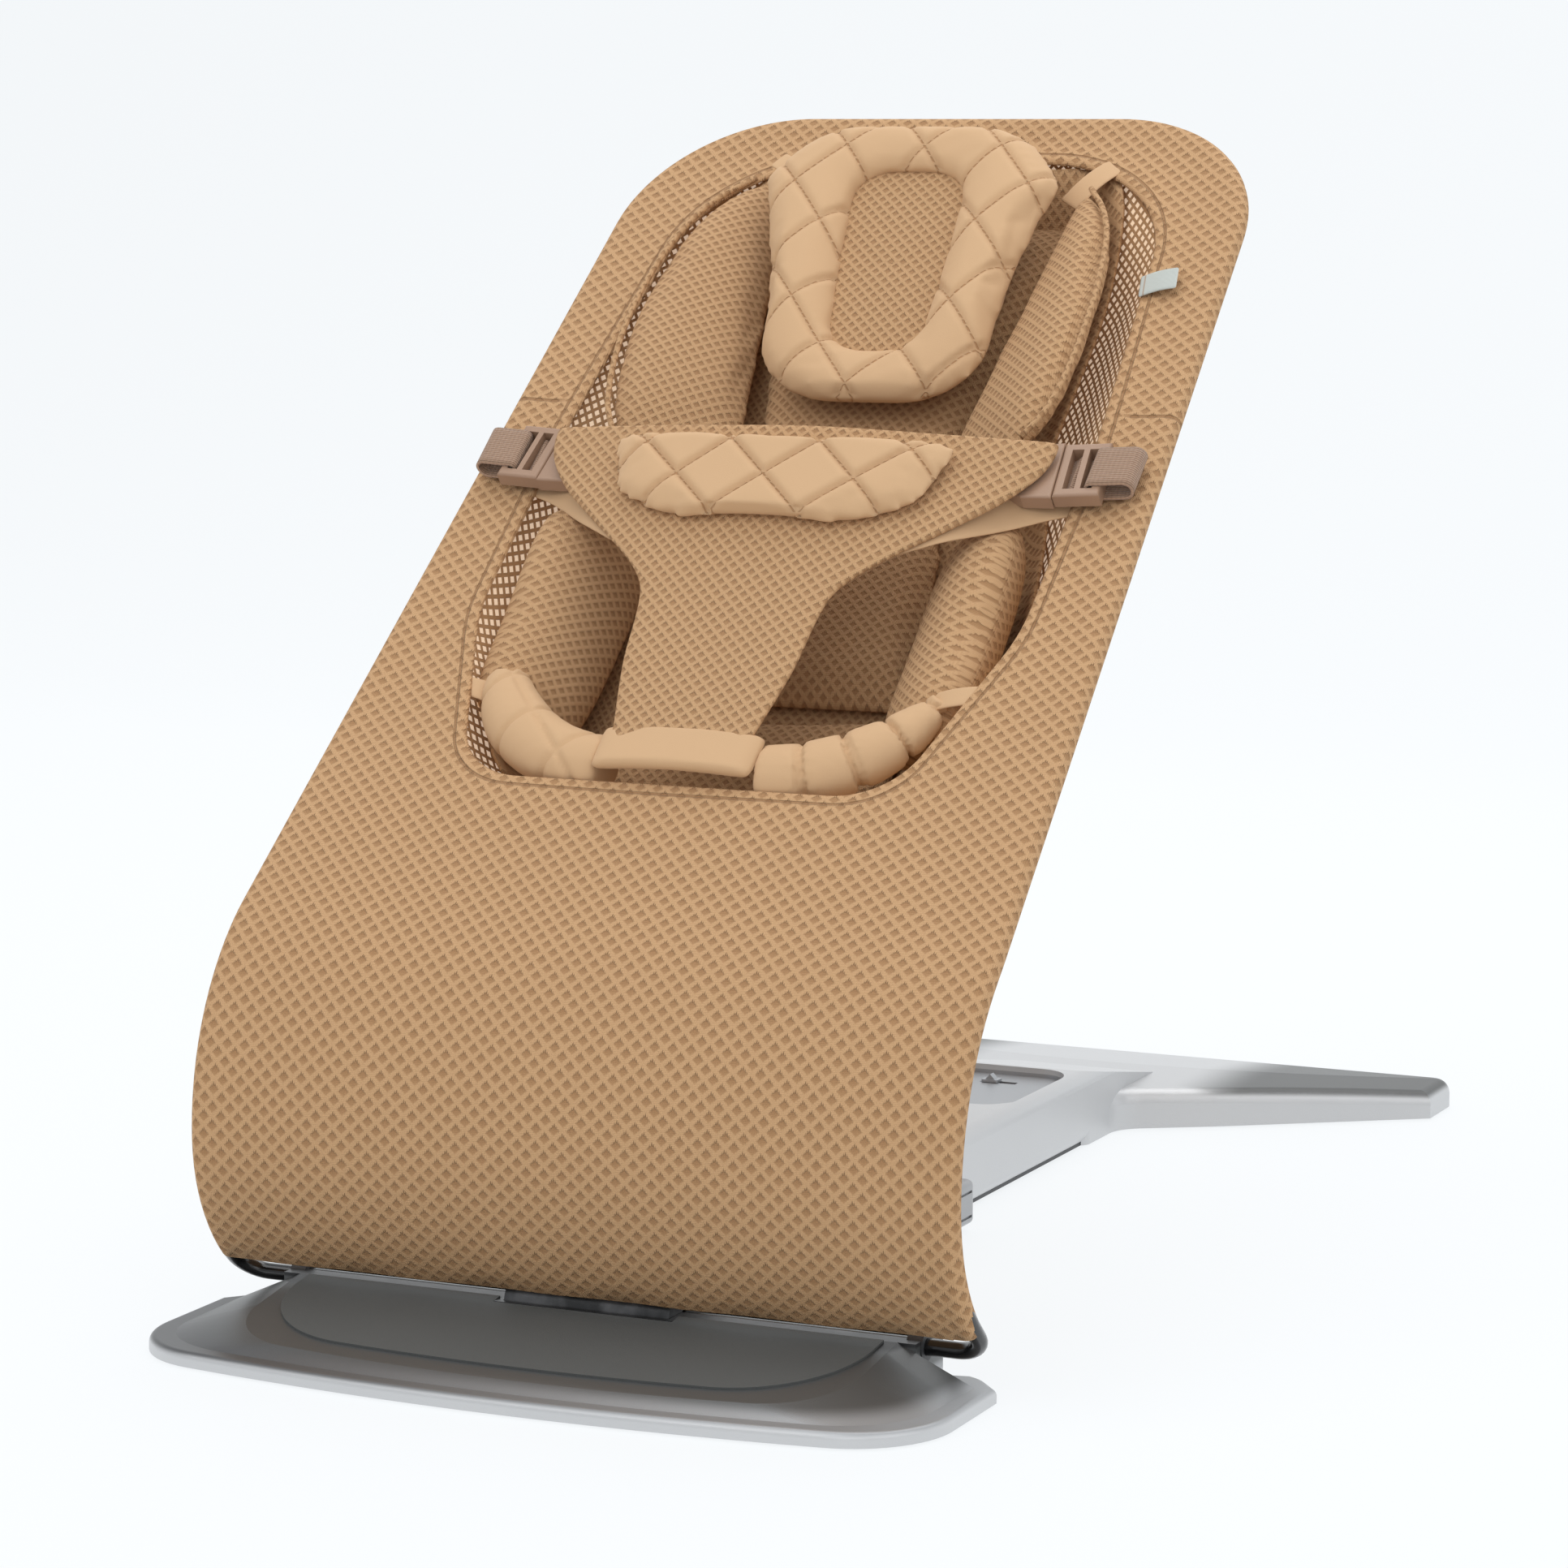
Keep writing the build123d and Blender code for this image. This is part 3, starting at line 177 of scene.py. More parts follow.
# ---- meshes
def selectOnly(piece):
    for other in bpy.context.selected_objects:
        other.select_set(False)
    piece.select_set(True)
    bpy.context.view_layer.objects.active = piece


def makePiece(name, points, faces, marks=None):
    mesh = bpy.data.meshes.new(name)
    mesh.from_pydata(points, [], faces)
    mesh.update()
    piece = bpy.data.objects.new(name, mesh)
    scene.collection.objects.link(piece)
    if marks:
        cloth = mesh.uv_layers.new(name="clothMap")
        for loop in mesh.loops:
            cloth.data[loop.index].uv = marks[loop.vertex_index]
    return piece


def gridPiece(name, rows, markRows=None, closed=False, skip=()):
    # rows of points joined into quads; skip names the (row, column) quads left open
    width = len(rows[0])
    points = [p for row in rows for p in row]
    marks = [m for row in markRows for m in row] if markRows else None
    faces = []
    for r in range(len(rows) - 1):
        for c in range(width if closed else width - 1):
            if (r, c) in skip:
                continue
            n = (c + 1) % width
            faces.append((r * width + c, r * width + n, (r + 1) * width + n, (r + 1) * width + c))
    return makePiece(name, points, faces, marks)


def closePoles(piece):
    # open ends are filled, doubles merged and faces turned outwards
    form = bmesh.new()
    form.from_mesh(piece.data)
    bmesh.ops.remove_doubles(form, verts=form.verts, dist=1e-5)
    bmesh.ops.holes_fill(form, edges=[e for e in form.edges if e.is_boundary], sides=0)
    bmesh.ops.recalc_face_normals(form, faces=form.faces)
    form.to_mesh(piece.data)
    form.free()
    piece.data.update()


def addModifier(piece, kind, **settings):
    modifier = piece.modifiers.new(kind.lower(), kind)
    for key, value in settings.items():
        setattr(modifier, key, value)
    selectOnly(piece)
    bpy.ops.object.modifier_apply(modifier=modifier.name)


def shadeSmooth(piece):
    selectOnly(piece)
    bpy.ops.object.shade_smooth()


def moveOut(piece, change):
    # each vertex moves along its own normal by what change returns for its place
    mesh = piece.data
    normals = [v.normal.copy() for v in mesh.vertices]
    for vertex, normal in zip(mesh.vertices, normals):
        vertex.co += normal * change(vertex.co, normal)
    mesh.update()


def mapCloth(piece, lean=0.0):
    # the weave runs up the seat, seen along its facing direction leaned sideways
    mesh = piece.data
    for layer in list(mesh.uv_layers):
        mesh.uv_layers.remove(layer)
    cloth = mesh.uv_layers.new(name="clothMap")
    spots = []
    for vertex in mesh.vertices:
        across, up, out = onSeat(vertex.co)
        spots.append((across * math.cos(lean) + out * math.sin(lean), up))
    for loop in mesh.loops:
        cloth.data[loop.index].uv = spots[loop.vertex_index]


def puff(piece, voxel=0.0045, cap=0.005, pressure=4.0):
    # filled like a cushion: an even skin blown up by cloth simulation, held within the cap
    selectOnly(piece)
    addModifier(piece, "REMESH", mode="VOXEL", voxel_size=voxel)
    before = [v.co.copy() for v in piece.data.vertices]
    fill = piece.modifiers.new("fill", "CLOTH")
    fill.settings.use_pressure = True
    fill.settings.uniform_pressure_force = pressure
    fill.settings.effector_weights.gravity = 0
    fill.point_cache.frame_start = 1
    fill.point_cache.frame_end = 20
    for step in range(1, 21):
        scene.frame_set(step)
    selectOnly(piece)
    bpy.ops.object.modifier_apply(modifier="fill")
    scene.frame_set(1)
    for vertex, start in zip(piece.data.vertices, before):
        move = vertex.co - start
        if move.length > cap:
            vertex.co = start + move.normalized() * cap
    piece.data.update()


def tubePiece(name, path, radius, sides=10, taper=None):
    # a round tube along a path of points
    rows = []
    normal = None
    for i, point in enumerate(path):
        ahead = (path[min(i + 1, len(path) - 1)] - path[max(i - 1, 0)]).normalized()
        if normal is None:
            normal = ahead.orthogonal().normalized()
        normal = (normal - ahead * normal.dot(ahead)).normalized()
        other = ahead.cross(normal)
        size = radius * (taper(i / (len(path) - 1)) if taper else 1.0)
        rows.append([
            point + (normal * math.cos(2 * math.pi * k / sides) + other * math.sin(2 * math.pi * k / sides)) * size
            for k in range(sides)
        ])
    piece = gridPiece(name, rows, closed=True)
    closePoles(piece)
    shadeSmooth(piece)
    return piece


def diamondGap(across, up, pitchAcross, pitchUp):
    # how far, in cells, a place is from the nearest of two crossing sets of lines
    a = across / pitchAcross + up / pitchUp
    b = across / pitchAcross - up / pitchUp
    return min(abs(a - round(a)), abs(b - round(b)))


# ---- node helpers
def calc(tree, operation, *values):
    node = tree.nodes.new("ShaderNodeMath")
    node.operation = operation
    for socket, value in zip(node.inputs, values):
        if isinstance(value, (int, float)):
            socket.default_value = value
        else:
            tree.links.new(value, socket)
    return node.outputs[0]


def ease(tree, low, high, value):
    # 0 below low and 1 above high, or the other way round
    node = tree.nodes.new("ShaderNodeMapRange")
    node.interpolation_type = "SMOOTHSTEP"
    if isinstance(value, (int, float)):
        node.inputs["Value"].default_value = value
    else:
        tree.links.new(value, node.inputs["Value"])
    reverse = low > high
    node.inputs["From Min"].default_value = min(low, high)
    node.inputs["From Max"].default_value = max(low, high)
    node.inputs["To Min"].default_value = 1.0 if reverse else 0.0
    node.inputs["To Max"].default_value = 0.0 if reverse else 1.0
    return node.outputs["Result"]


def newGroup(name, inputs, outputs):
    group = bpy.data.node_groups.new(name, "ShaderNodeTree")
    for label, kind, value in inputs:
        socket = group.interface.new_socket(label, in_out="INPUT", socket_type=kind)
        if value is not None:
            socket.default_value = value
    for label, kind in outputs:
        group.interface.new_socket(label, in_out="OUTPUT", socket_type=kind)
    return group, group.nodes.new("NodeGroupInput").outputs, group.nodes.new("NodeGroupOutput").inputs


def useGroup(tree, group, **values):
    node = tree.nodes.new("ShaderNodeGroup")
    node.node_tree = group
    for key, value in values.items():
        socket = node.inputs[key]
        if isinstance(value, (int, float)):
            socket.default_value = value
        else:
            tree.links.new(value, socket)
    return node.outputs


def linear(red, green, blue):
    # a screen colour, 0 to 255, as the shader's own
    parts = [c / 255 for c in (red, green, blue)]
    return [p / 12.92 if p <= 0.04045 else ((p + 0.055) / 1.055) ** 2.4 for p in parts] + [1.0]


def mixColour(tree, amount, colourA, colourB):
    node = tree.nodes.new("ShaderNodeMix")
    node.data_type = "RGBA"
    for place, value in ((0, amount), (6, colourA), (7, colourB)):
        socket = node.inputs[place]
        if isinstance(value, (int, float, list, tuple)):
            socket.default_value = value
        else:
            tree.links.new(value, socket)
    return node.outputs[2]


def noiseAt(tree, vector, scale, detail=3.0):
    node = tree.nodes.new("ShaderNodeTexNoise")
    node.inputs["Scale"].default_value = scale
    node.inputs["Detail"].default_value = detail
    tree.links.new(vector, node.inputs["Vector"])
    return node.outputs["Fac"]


def makeKnitGroup():
    # staggered diamond dimples of a spacer knit, with masks for painted shade in each dimple and a painted shadow
    # under its jagged upper edge
    group, given, out = newGroup(
        "honeycombKnit",
        [("Vector", "NodeSocketVector", None), ("Width", "NodeSocketFloat", 0.009),
         ("Height", "NodeSocketFloat", 0.008)],
        [("Dimple", "NodeSocketFloat"), ("LipShadow", "NodeSocketFloat"), ("Relief", "NodeSocketFloat")],
    )
    split = group.nodes.new("ShaderNodeSeparateXYZ")
    group.links.new(given["Vector"], split.inputs[0])
    x = calc(group, "DIVIDE", split.outputs[0], given["Width"])
    y = calc(group, "DIVIDE", split.outputs[1], given["Height"])
    threads = calc(group, "SINE", calc(group, "MULTIPLY", x, 2 * math.pi * 9))
    courses = calc(group, "SINE", calc(group, "MULTIPLY", y, 2 * math.pi * 10))
    spread = []
    lows = []
    for shift in (0.0, 0.5):
        fx = calc(group, "SUBTRACT", calc(group, "FRACT", calc(group, "ADD", x, shift)), 0.5)
        fy = calc(group, "SUBTRACT", calc(group, "FRACT", calc(group, "ADD", y, shift)), 0.5)
        spread.append(calc(group, "ADD", calc(group, "ABSOLUTE", fx), calc(group, "ABSOLUTE", fy)))
        lows.append(fy)
    first = calc(group, "LESS_THAN", spread[0], spread[1])
    reach = calc(group, "MINIMUM", spread[0], spread[1])
    height = calc(group, "ADD", calc(group, "MULTIPLY", lows[0], first),
                  calc(group, "MULTIPLY", lows[1], calc(group, "SUBTRACT", 1.0, first)))
    upper = calc(group, "MAXIMUM", height, 0.0)
    jag = calc(group, "MULTIPLY", calc(group, "MULTIPLY", threads, upper), 0.26)
    # the dimple's shape: the material paints shade into it, and it also shapes the relief
    dimple = ease(group, 0.37, 0.20, calc(group, "ADD", reach, jag))
    # painted shadow under each dimple's upper edge, as if lit from above
    lipShadow = calc(group, "MULTIPLY", dimple, ease(group, -0.38, 0.3, height))
    fine = calc(group, "ADD", calc(group, "MULTIPLY", threads, 0.10), calc(group, "MULTIPLY", courses, 0.07))
    relief = calc(group, "SUBTRACT", calc(group, "ADD", 1.0, fine),
                  calc(group, "MULTIPLY", dimple, calc(group, "ADD", 0.62, height)))
    group.links.new(dimple, out["Dimple"])
    group.links.new(lipShadow, out["LipShadow"])
    group.links.new(relief, out["Relief"])
    return group


def makeStitchGroup():
    # thread in short dashes along two crossing sets of lines, and a mask for painted shade along them
    group, given, out = newGroup(
        "quiltStitch",
        [("Vector", "NodeSocketVector", None), ("Across", "NodeSocketFloat", 0.045),
         ("Up", "NodeSocketFloat", 0.045),
         ("Dash", "NodeSocketFloat", 0.0032)],
        [("Thread", "NodeSocketFloat"), ("GrooveShade", "NodeSocketFloat")],
    )
    split = group.nodes.new("ShaderNodeSeparateXYZ")
    group.links.new(given["Vector"], split.inputs[0])
    x = calc(group, "DIVIDE", split.outputs[0], given["Across"])
    y = calc(group, "DIVIDE", split.outputs[1], given["Up"])
    dashes = calc(group, "FRACT", calc(group, "DIVIDE", split.outputs[1], given["Dash"]))
    dashMask = ease(group, 0.74, 0.6, dashes)
    gaps = []
    for sign in ("ADD", "SUBTRACT"):
        line = calc(group, sign, x, y)
        gaps.append(calc(group, "ABSOLUTE", calc(group, "SUBTRACT", line, calc(group, "ROUND", line))))
    gap = calc(group, "MULTIPLY", calc(group, "MINIMUM", gaps[0], gaps[1]), given["Across"])
    group.links.new(calc(group, "MULTIPLY", ease(group, 0.0007, 0.00035, gap), dashMask), out["Thread"])
    # painted shade, darkest on the quilting lines
    group.links.new(ease(group, 0.004, 0.0, gap), out["GrooveShade"])
    return group


def makeGrainGroup():
    # slow mottling and a fine grain, for cloth and for painted parts
    group, given, out = newGroup(
        "softGrain",
        [("Vector", "NodeSocketVector", None), ("Coarse", "NodeSocketFloat", 20.0),
         ("Fine", "NodeSocketFloat", 900.0)],
        [("Mottle", "NodeSocketFloat"), ("Grain", "NodeSocketFloat")],
    )
    for label, result, detail in (("Coarse", "Mottle", 2.0), ("Fine", "Grain", 1.0)):
        node = group.nodes.new("ShaderNodeTexNoise")
        node.inputs["Detail"].default_value = detail
        group.links.new(given["Vector"], node.inputs["Vector"])
        group.links.new(given[label], node.inputs["Scale"])
        group.links.new(node.outputs["Fac"], out[result])
    return group


def makeWearGroup():
    # paler on edges that hands and floors rub
    group, given, out = newGroup("edgeWear", [("Vector", "NodeSocketVector", None)],
                                 [("Wear", "NodeSocketFloat")])
    geometry = group.nodes.new("ShaderNodeNewGeometry")
    patch = noiseAt(group, given["Vector"], 60.0)
    edge = ease(group, 0.53, 0.62, geometry.outputs["Pointiness"])
    group.links.new(calc(group, "MULTIPLY", edge, ease(group, 0.35, 0.7, patch)), out["Wear"])
    return group


knitGroup = makeKnitGroup()
stitchGroup = makeStitchGroup()
grainGroup = makeGrainGroup()
wearGroup = makeWearGroup()


def newMaterial(name, roughness=0.8, **settings):
    material = bpy.data.materials.new(name)
    material.use_nodes = True
    tree = material.node_tree
    shader = tree.nodes["Principled BSDF"]
    shader.inputs["Roughness"].default_value = roughness
    for key, value in settings.items():
        shader.inputs[key.replace("_", " ")].default_value = value
    return material, tree, shader


def clothVector(tree):
    node = tree.nodes.new("ShaderNodeUVMap")
    node.uv_map = "clothMap"
    return node.outputs[0]


def objectVector(tree):
    return tree.nodes.new("ShaderNodeTexCoord").outputs["Object"]


def bumpTo(tree, shader, height, distance, strength=1.0):
    node = tree.nodes.new("ShaderNodeBump")
    node.inputs["Distance"].default_value = distance
    node.inputs["Strength"].default_value = strength
    tree.links.new(height, node.inputs["Height"])
    tree.links.new(node.outputs[0], shader.inputs["Normal"])


clothColours = {
    "knitRib": linear(202, 162, 120),
    # the dimple tone is painted shade in the dimples; the next tone is painted shadow under their upper edge, and
    # it also colours seams and grain
    "knitDimpleShade": linear(174, 134, 94),
    "knitShadowSeamAndGrain": linear(148, 109, 74),
    "smooth": linear(203, 167, 128),
    # the deep tone is painted shade along quilting lines
    "smoothGrooveShade": linear(184, 144, 106),
    "thread": linear(176, 130, 88),
    "webbing": linear(172, 140, 116),
}


def knitMaterial(name, width, height, seam=False, relief=0.0011, shade=1.0):
    material, tree, shader = newMaterial(name, roughness=0.9, Sheen_Weight=0.12, Sheen_Roughness=0.6,
                                         Sheen_Tint=linear(255, 225, 190), Specular_IOR_Level=0.2)
    vector = clothVector(tree)
    knit = useGroup(tree, knitGroup, Vector=vector, Width=width, Height=height)
    grain = useGroup(tree, grainGroup, Vector=vector, Coarse=14.0, Fine=1400.0)
    rib = mixColour(tree, calc(tree, "MULTIPLY", grain["Mottle"], 0.35), clothColours["knitRib"],
                    [c * 0.86 for c in clothColours["knitRib"][:3]] + [1.0])
    # painted shade in the dimples
    colour = mixColour(tree, calc(tree, "MULTIPLY", knit["Dimple"], 0.80 * shade), rib,
                       clothColours["knitDimpleShade"])
    # painted shadow under the dimples' upper edge
    colour = mixColour(tree, calc(tree, "MULTIPLY", knit["LipShadow"], 0.62 * shade), colour,
                       clothColours["knitShadowSeamAndGrain"])
    colour = mixColour(tree, calc(tree, "MULTIPLY", grain["Grain"], 0.12), colour, clothColours["knitShadowSeamAndGrain"])
    height = knit["Relief"]
    if seam:
        # a joining seam across each side rail, and a stitched line round the opening
        split = tree.nodes.new("ShaderNodeSeparateXYZ")
        tree.links.new(vector, split.inputs[0])
        rise = calc(tree, "SUBTRACT", split.outputs[1], 0.349)
        seamLine = calc(tree, "MULTIPLY", ease(tree, 0.0016, 0.0004, calc(tree, "ABSOLUTE", rise)),
                        ease(tree, 0.150, 0.162, calc(tree, "ABSOLUTE", split.outputs[0])))
        fromEdge = tree.nodes.new("ShaderNodeAttribute")
        fromEdge.attribute_name = "fromEdge"
        line = calc(tree, "ABSOLUTE", calc(tree, "SUBTRACT", fromEdge.outputs["Fac"], 0.0072))
        hemLine = ease(tree, 0.0012, 0.0003, line)
        sewn = calc(tree, "MAXIMUM", seamLine, hemLine)
        colour = mixColour(tree, calc(tree, "MULTIPLY", sewn, 0.75), colour, clothColours["knitShadowSeamAndGrain"])
        height = calc(tree, "SUBTRACT", height, calc(tree, "MULTIPLY", sewn, 1.2))
    tree.links.new(colour, shader.inputs["Base Color"])
    bumpTo(tree, shader, height, relief)
    return material


def smoothMaterial(name, across=0.0, up=0.0):
    # brushed smooth cloth; a pitch adds the dashed thread of its quilting and painted shade along its lines
    material, tree, shader = newMaterial(name, roughness=0.78, Sheen_Weight=0.15, Sheen_Roughness=0.5,
                                         Sheen_Tint=linear(255, 232, 200), Specular_IOR_Level=0.25)
    vector = clothVector(tree)
    grain = useGroup(tree, grainGroup, Vector=vector, Coarse=26.0, Fine=2200.0)
    colour = mixColour(tree, calc(tree, "MULTIPLY", grain["Mottle"], 0.4), clothColours["smooth"],
                       linear(202, 166, 127))
    height = calc(tree, "MULTIPLY", grain["Grain"], 0.12)
    if across:
        stitch = useGroup(tree, stitchGroup, Vector=vector, Across=across, Up=up)
        # painted shade along the quilting lines
        colour = mixColour(tree, calc(tree, "MULTIPLY", stitch["GrooveShade"], 0.35), colour,
                           clothColours["smoothGrooveShade"])
        colour = mixColour(tree, calc(tree, "MULTIPLY", stitch["Thread"], 0.8), colour,
                           clothColours["thread"])
        height = calc(tree, "SUBTRACT", height, calc(tree, "MULTIPLY", stitch["Thread"], 0.8))
    tree.links.new(colour, shader.inputs["Base Color"])
    bumpTo(tree, shader, height, 0.0006)
    return material


def netMaterial():
    material, tree, shader = newMaterial("netFabric", roughness=0.85, Specular_IOR_Level=0.2)
    vector = clothVector(tree)
    split = tree.nodes.new("ShaderNodeSeparateXYZ")
    tree.links.new(vector, split.inputs[0])
    x = calc(tree, "DIVIDE", split.outputs[0], 0.0056)
    y = calc(tree, "DIVIDE", split.outputs[1], 0.0074)
    reach = []
    for shift in (0.0, 0.5):
        fx = calc(tree, "SUBTRACT", calc(tree, "FRACT", calc(tree, "ADD", x, shift)), 0.5)
        fy = calc(tree, "SUBTRACT", calc(tree, "FRACT", calc(tree, "ADD", y, shift)), 0.5)
        reach.append(calc(tree, "ADD", calc(tree, "ABSOLUTE", fx), calc(tree, "ABSOLUTE", fy)))
    solid = ease(tree, 0.27, 0.33, calc(tree, "MINIMUM", reach[0], reach[1]))
    grain = useGroup(tree, grainGroup, Vector=vector, Coarse=30.0, Fine=1500.0)
    threads = mixColour(tree, grain["Grain"], linear(196, 156, 114), linear(172, 132, 92))
    # the holes are painted a light cream, painted light for what shows through them
    tree.links.new(mixColour(tree, solid, linear(236, 204, 164), threads), shader.inputs["Base Color"])
    # the holes are nearly opaque and glow faintly: painted light in place of what shows through them
    tree.links.new(calc(tree, "ADD", 0.86, calc(tree, "MULTIPLY", solid, 0.14)), shader.inputs["Alpha"])
    tree.links.new(mixColour(tree, solid, linear(150, 126, 98), (0.0, 0.0, 0.0, 1.0)),
                   shader.inputs["Emission Color"])
    shader.inputs["Emission Strength"].default_value = 1.0
    bumpTo(tree, shader, solid, 0.0006)
    return material


def webbingMaterial():
    material, tree, shader = newMaterial("webbing", roughness=0.75, Sheen_Weight=0.2, Specular_IOR_Level=0.3)
    vector = clothVector(tree)
    split = tree.nodes.new("ShaderNodeSeparateXYZ")
    tree.links.new(vector, split.inputs[0])
    ribs = calc(tree, "SINE", calc(tree, "MULTIPLY", split.outputs[0], 2 * math.pi / 0.0013))
    picks = calc(tree, "SINE", calc(tree, "MULTIPLY", split.outputs[1], 2 * math.pi / 0.0024))
    weave = calc(tree, "ADD", ribs, calc(tree, "MULTIPLY", picks, 0.4))
    colour = mixColour(tree, ease(tree, -1.2, 1.2, weave), linear(148, 117, 94), clothColours["webbing"])
    tree.links.new(colour, shader.inputs["Base Color"])
    bumpTo(tree, shader, weave, 0.0002)
    return material


def tagMaterial():
    # pale satin ribbon, left blank, with a stitched line along its root
    material, tree, shader = newMaterial("tagRibbon", roughness=0.55, Specular_IOR_Level=0.4)
    vector = clothVector(tree)
    split = tree.nodes.new("ShaderNodeSeparateXYZ")
    tree.links.new(vector, split.inputs[0])
    weave = calc(tree, "SINE", calc(tree, "MULTIPLY", split.outputs[1], 2 * math.pi / 0.0005))
    sewn = ease(tree, 0.0006, 0.0002, calc(tree, "ABSOLUTE", calc(tree, "SUBTRACT", split.outputs[1], 0.003)))
    colour = mixColour(tree, calc(tree, "MULTIPLY", ease(tree, -1, 1, weave), 0.3), linear(208, 214, 208),
                       linear(188, 196, 190))
    colour = mixColour(tree, calc(tree, "MULTIPLY", sewn, 0.6), colour, clothColours["thread"])
    tree.links.new(colour, shader.inputs["Base Color"])
    bumpTo(tree, shader, weave, 0.0001)
    return material


# places of the feet's painted reflection and of the painted shadow under the cover's hem
footPaintAndReflection = {
    "rimEdge": (0.0055, 0.0078),        # heights over which the rim's wall turns into its top
    "rampFoot": (0.0085, 0.0125),       # heights over which the rim's top turns into the ramp
    "hemShadow": (0.0225, 0.0240),       # heights of what lies in the cover's shade
    "sides": 0.19,                      # the painted reflection on the rim's top brightens from one side to the other
    "ahead": (-0.250, -0.275),          # only what lies ahead of this is the front foot
    "armTop": (-0.0045, -0.0012),       # depth below the arms' crown where the painted reflection on their tops fades
    "armRoot": (0.062, 0.105),
    "armFront": (0.290, 0.300),
    "crown": 0.024, "crownFall": 0.208, "rearFall": 0.1083, "rearStart": 0.0609,
}


def footMaterial():
    # silver paint with painted reflection: the rim's top, the ramp and the rear arms' tops are darkened, and a
    # painted shadow lies under the cover's hem
    material, tree, shader = newMaterial("footPaintAndReflection", roughness=0.36, Metallic=0.35)
    vector = objectVector(tree)
    split = tree.nodes.new("ShaderNodeSeparateXYZ")
    tree.links.new(vector, split.inputs[0])
    grain = useGroup(tree, grainGroup, Vector=vector, Coarse=9.0, Fine=1800.0)
    rub = useGroup(tree, wearGroup, Vector=vector)
    x, y, z = split.outputs[0], split.outputs[1], split.outputs[2]
    bright = mixColour(tree, calc(tree, "MULTIPLY", grain["Mottle"], 0.4), linear(204, 205, 206),
                       linear(188, 190, 192))
    dark = mixColour(tree, calc(tree, "MULTIPLY", grain["Mottle"], 0.4), linear(92, 94, 94),
                     linear(82, 84, 84))
    # painted reflection: the rim's top runs from dark on the left to bright on the right
    flange = mixColour(tree, ease(tree, -footPaintAndReflection["sides"], footPaintAndReflection["sides"], x), linear(88, 89, 90),
                       linear(160, 162, 164))
    ahead = ease(tree, *footPaintAndReflection["ahead"], y)
    # painted reflection: above the rim's wall the top takes the tone above, and the ramp above that a dark grey
    colour = mixColour(tree, calc(tree, "MULTIPLY", ease(tree, *footPaintAndReflection["rimEdge"], z), ahead), bright,
                       flange)
    colour = mixColour(tree, calc(tree, "MULTIPLY", ease(tree, *footPaintAndReflection["rampFoot"], z), ahead), colour,
                       dark)
    # painted shadow under the cover's hem
    hemShadow = calc(tree, "MULTIPLY", ease(tree, *footPaintAndReflection["hemShadow"], z), ahead)
    colour = mixColour(tree, hemShadow, colour, linear(44, 45, 46))
    # painted reflection: the rear arms are dark on top and bright in front
    crown = calc(tree, "SUBTRACT", footPaintAndReflection["crown"],
                 calc(tree, "MULTIPLY", calc(tree, "MULTIPLY", x, x), footPaintAndReflection["crownFall"]))
    fall = calc(tree, "SUBTRACT", footPaintAndReflection["rearStart"], calc(tree, "MULTIPLY", y, footPaintAndReflection["rearFall"]))
    onTop = ease(tree, *footPaintAndReflection["armTop"], calc(tree, "SUBTRACT", z, calc(tree, "MINIMUM", crown, fall)))
    arms = calc(tree, "MULTIPLY", ease(tree, *footPaintAndReflection["armRoot"], calc(tree, "ABSOLUTE", x)),
                ease(tree, *footPaintAndReflection["armFront"], y))
    colour = mixColour(tree, calc(tree, "MULTIPLY", onTop, arms), colour, linear(86, 87, 86))
    colour = mixColour(tree, calc(tree, "MULTIPLY", rub["Wear"], 0.15), colour, linear(204, 205, 207))
    tree.links.new(colour, shader.inputs["Base Color"])
    bumpTo(tree, shader, grain["Grain"], 0.00005)
    return material


def hardMaterial(name, colour, darker, roughness, metallic=0.0, grainSize=1800.0, bump=0.00005, wear=None,
                 **settings):
    # moulded, painted or plated surface with a fine grain, slow mottling and rubbed edges
    material, tree, shader = newMaterial(name, roughness=roughness, **settings)
    vector = objectVector(tree)
    grain = useGroup(tree, grainGroup, Vector=vector, Coarse=9.0, Fine=grainSize)
    shade = mixColour(tree, calc(tree, "MULTIPLY", grain["Mottle"], 0.5), colour, darker)
    shade = mixColour(tree, calc(tree, "MULTIPLY", grain["Grain"], 0.18), shade, darker)
    if wear:
        rub = useGroup(tree, wearGroup, Vector=vector)
        shade = mixColour(tree, calc(tree, "MULTIPLY", rub["Wear"], 0.5), shade, wear)
    tree.links.new(shade, shader.inputs["Base Color"])
    shader.inputs["Metallic"].default_value = metallic
    rough = calc(tree, "ADD", roughness - 0.04, calc(tree, "MULTIPLY", grain["Mottle"], 0.08))
    tree.links.new(rough, shader.inputs["Roughness"])
    bumpTo(tree, shader, grain["Grain"], bump)
    return material


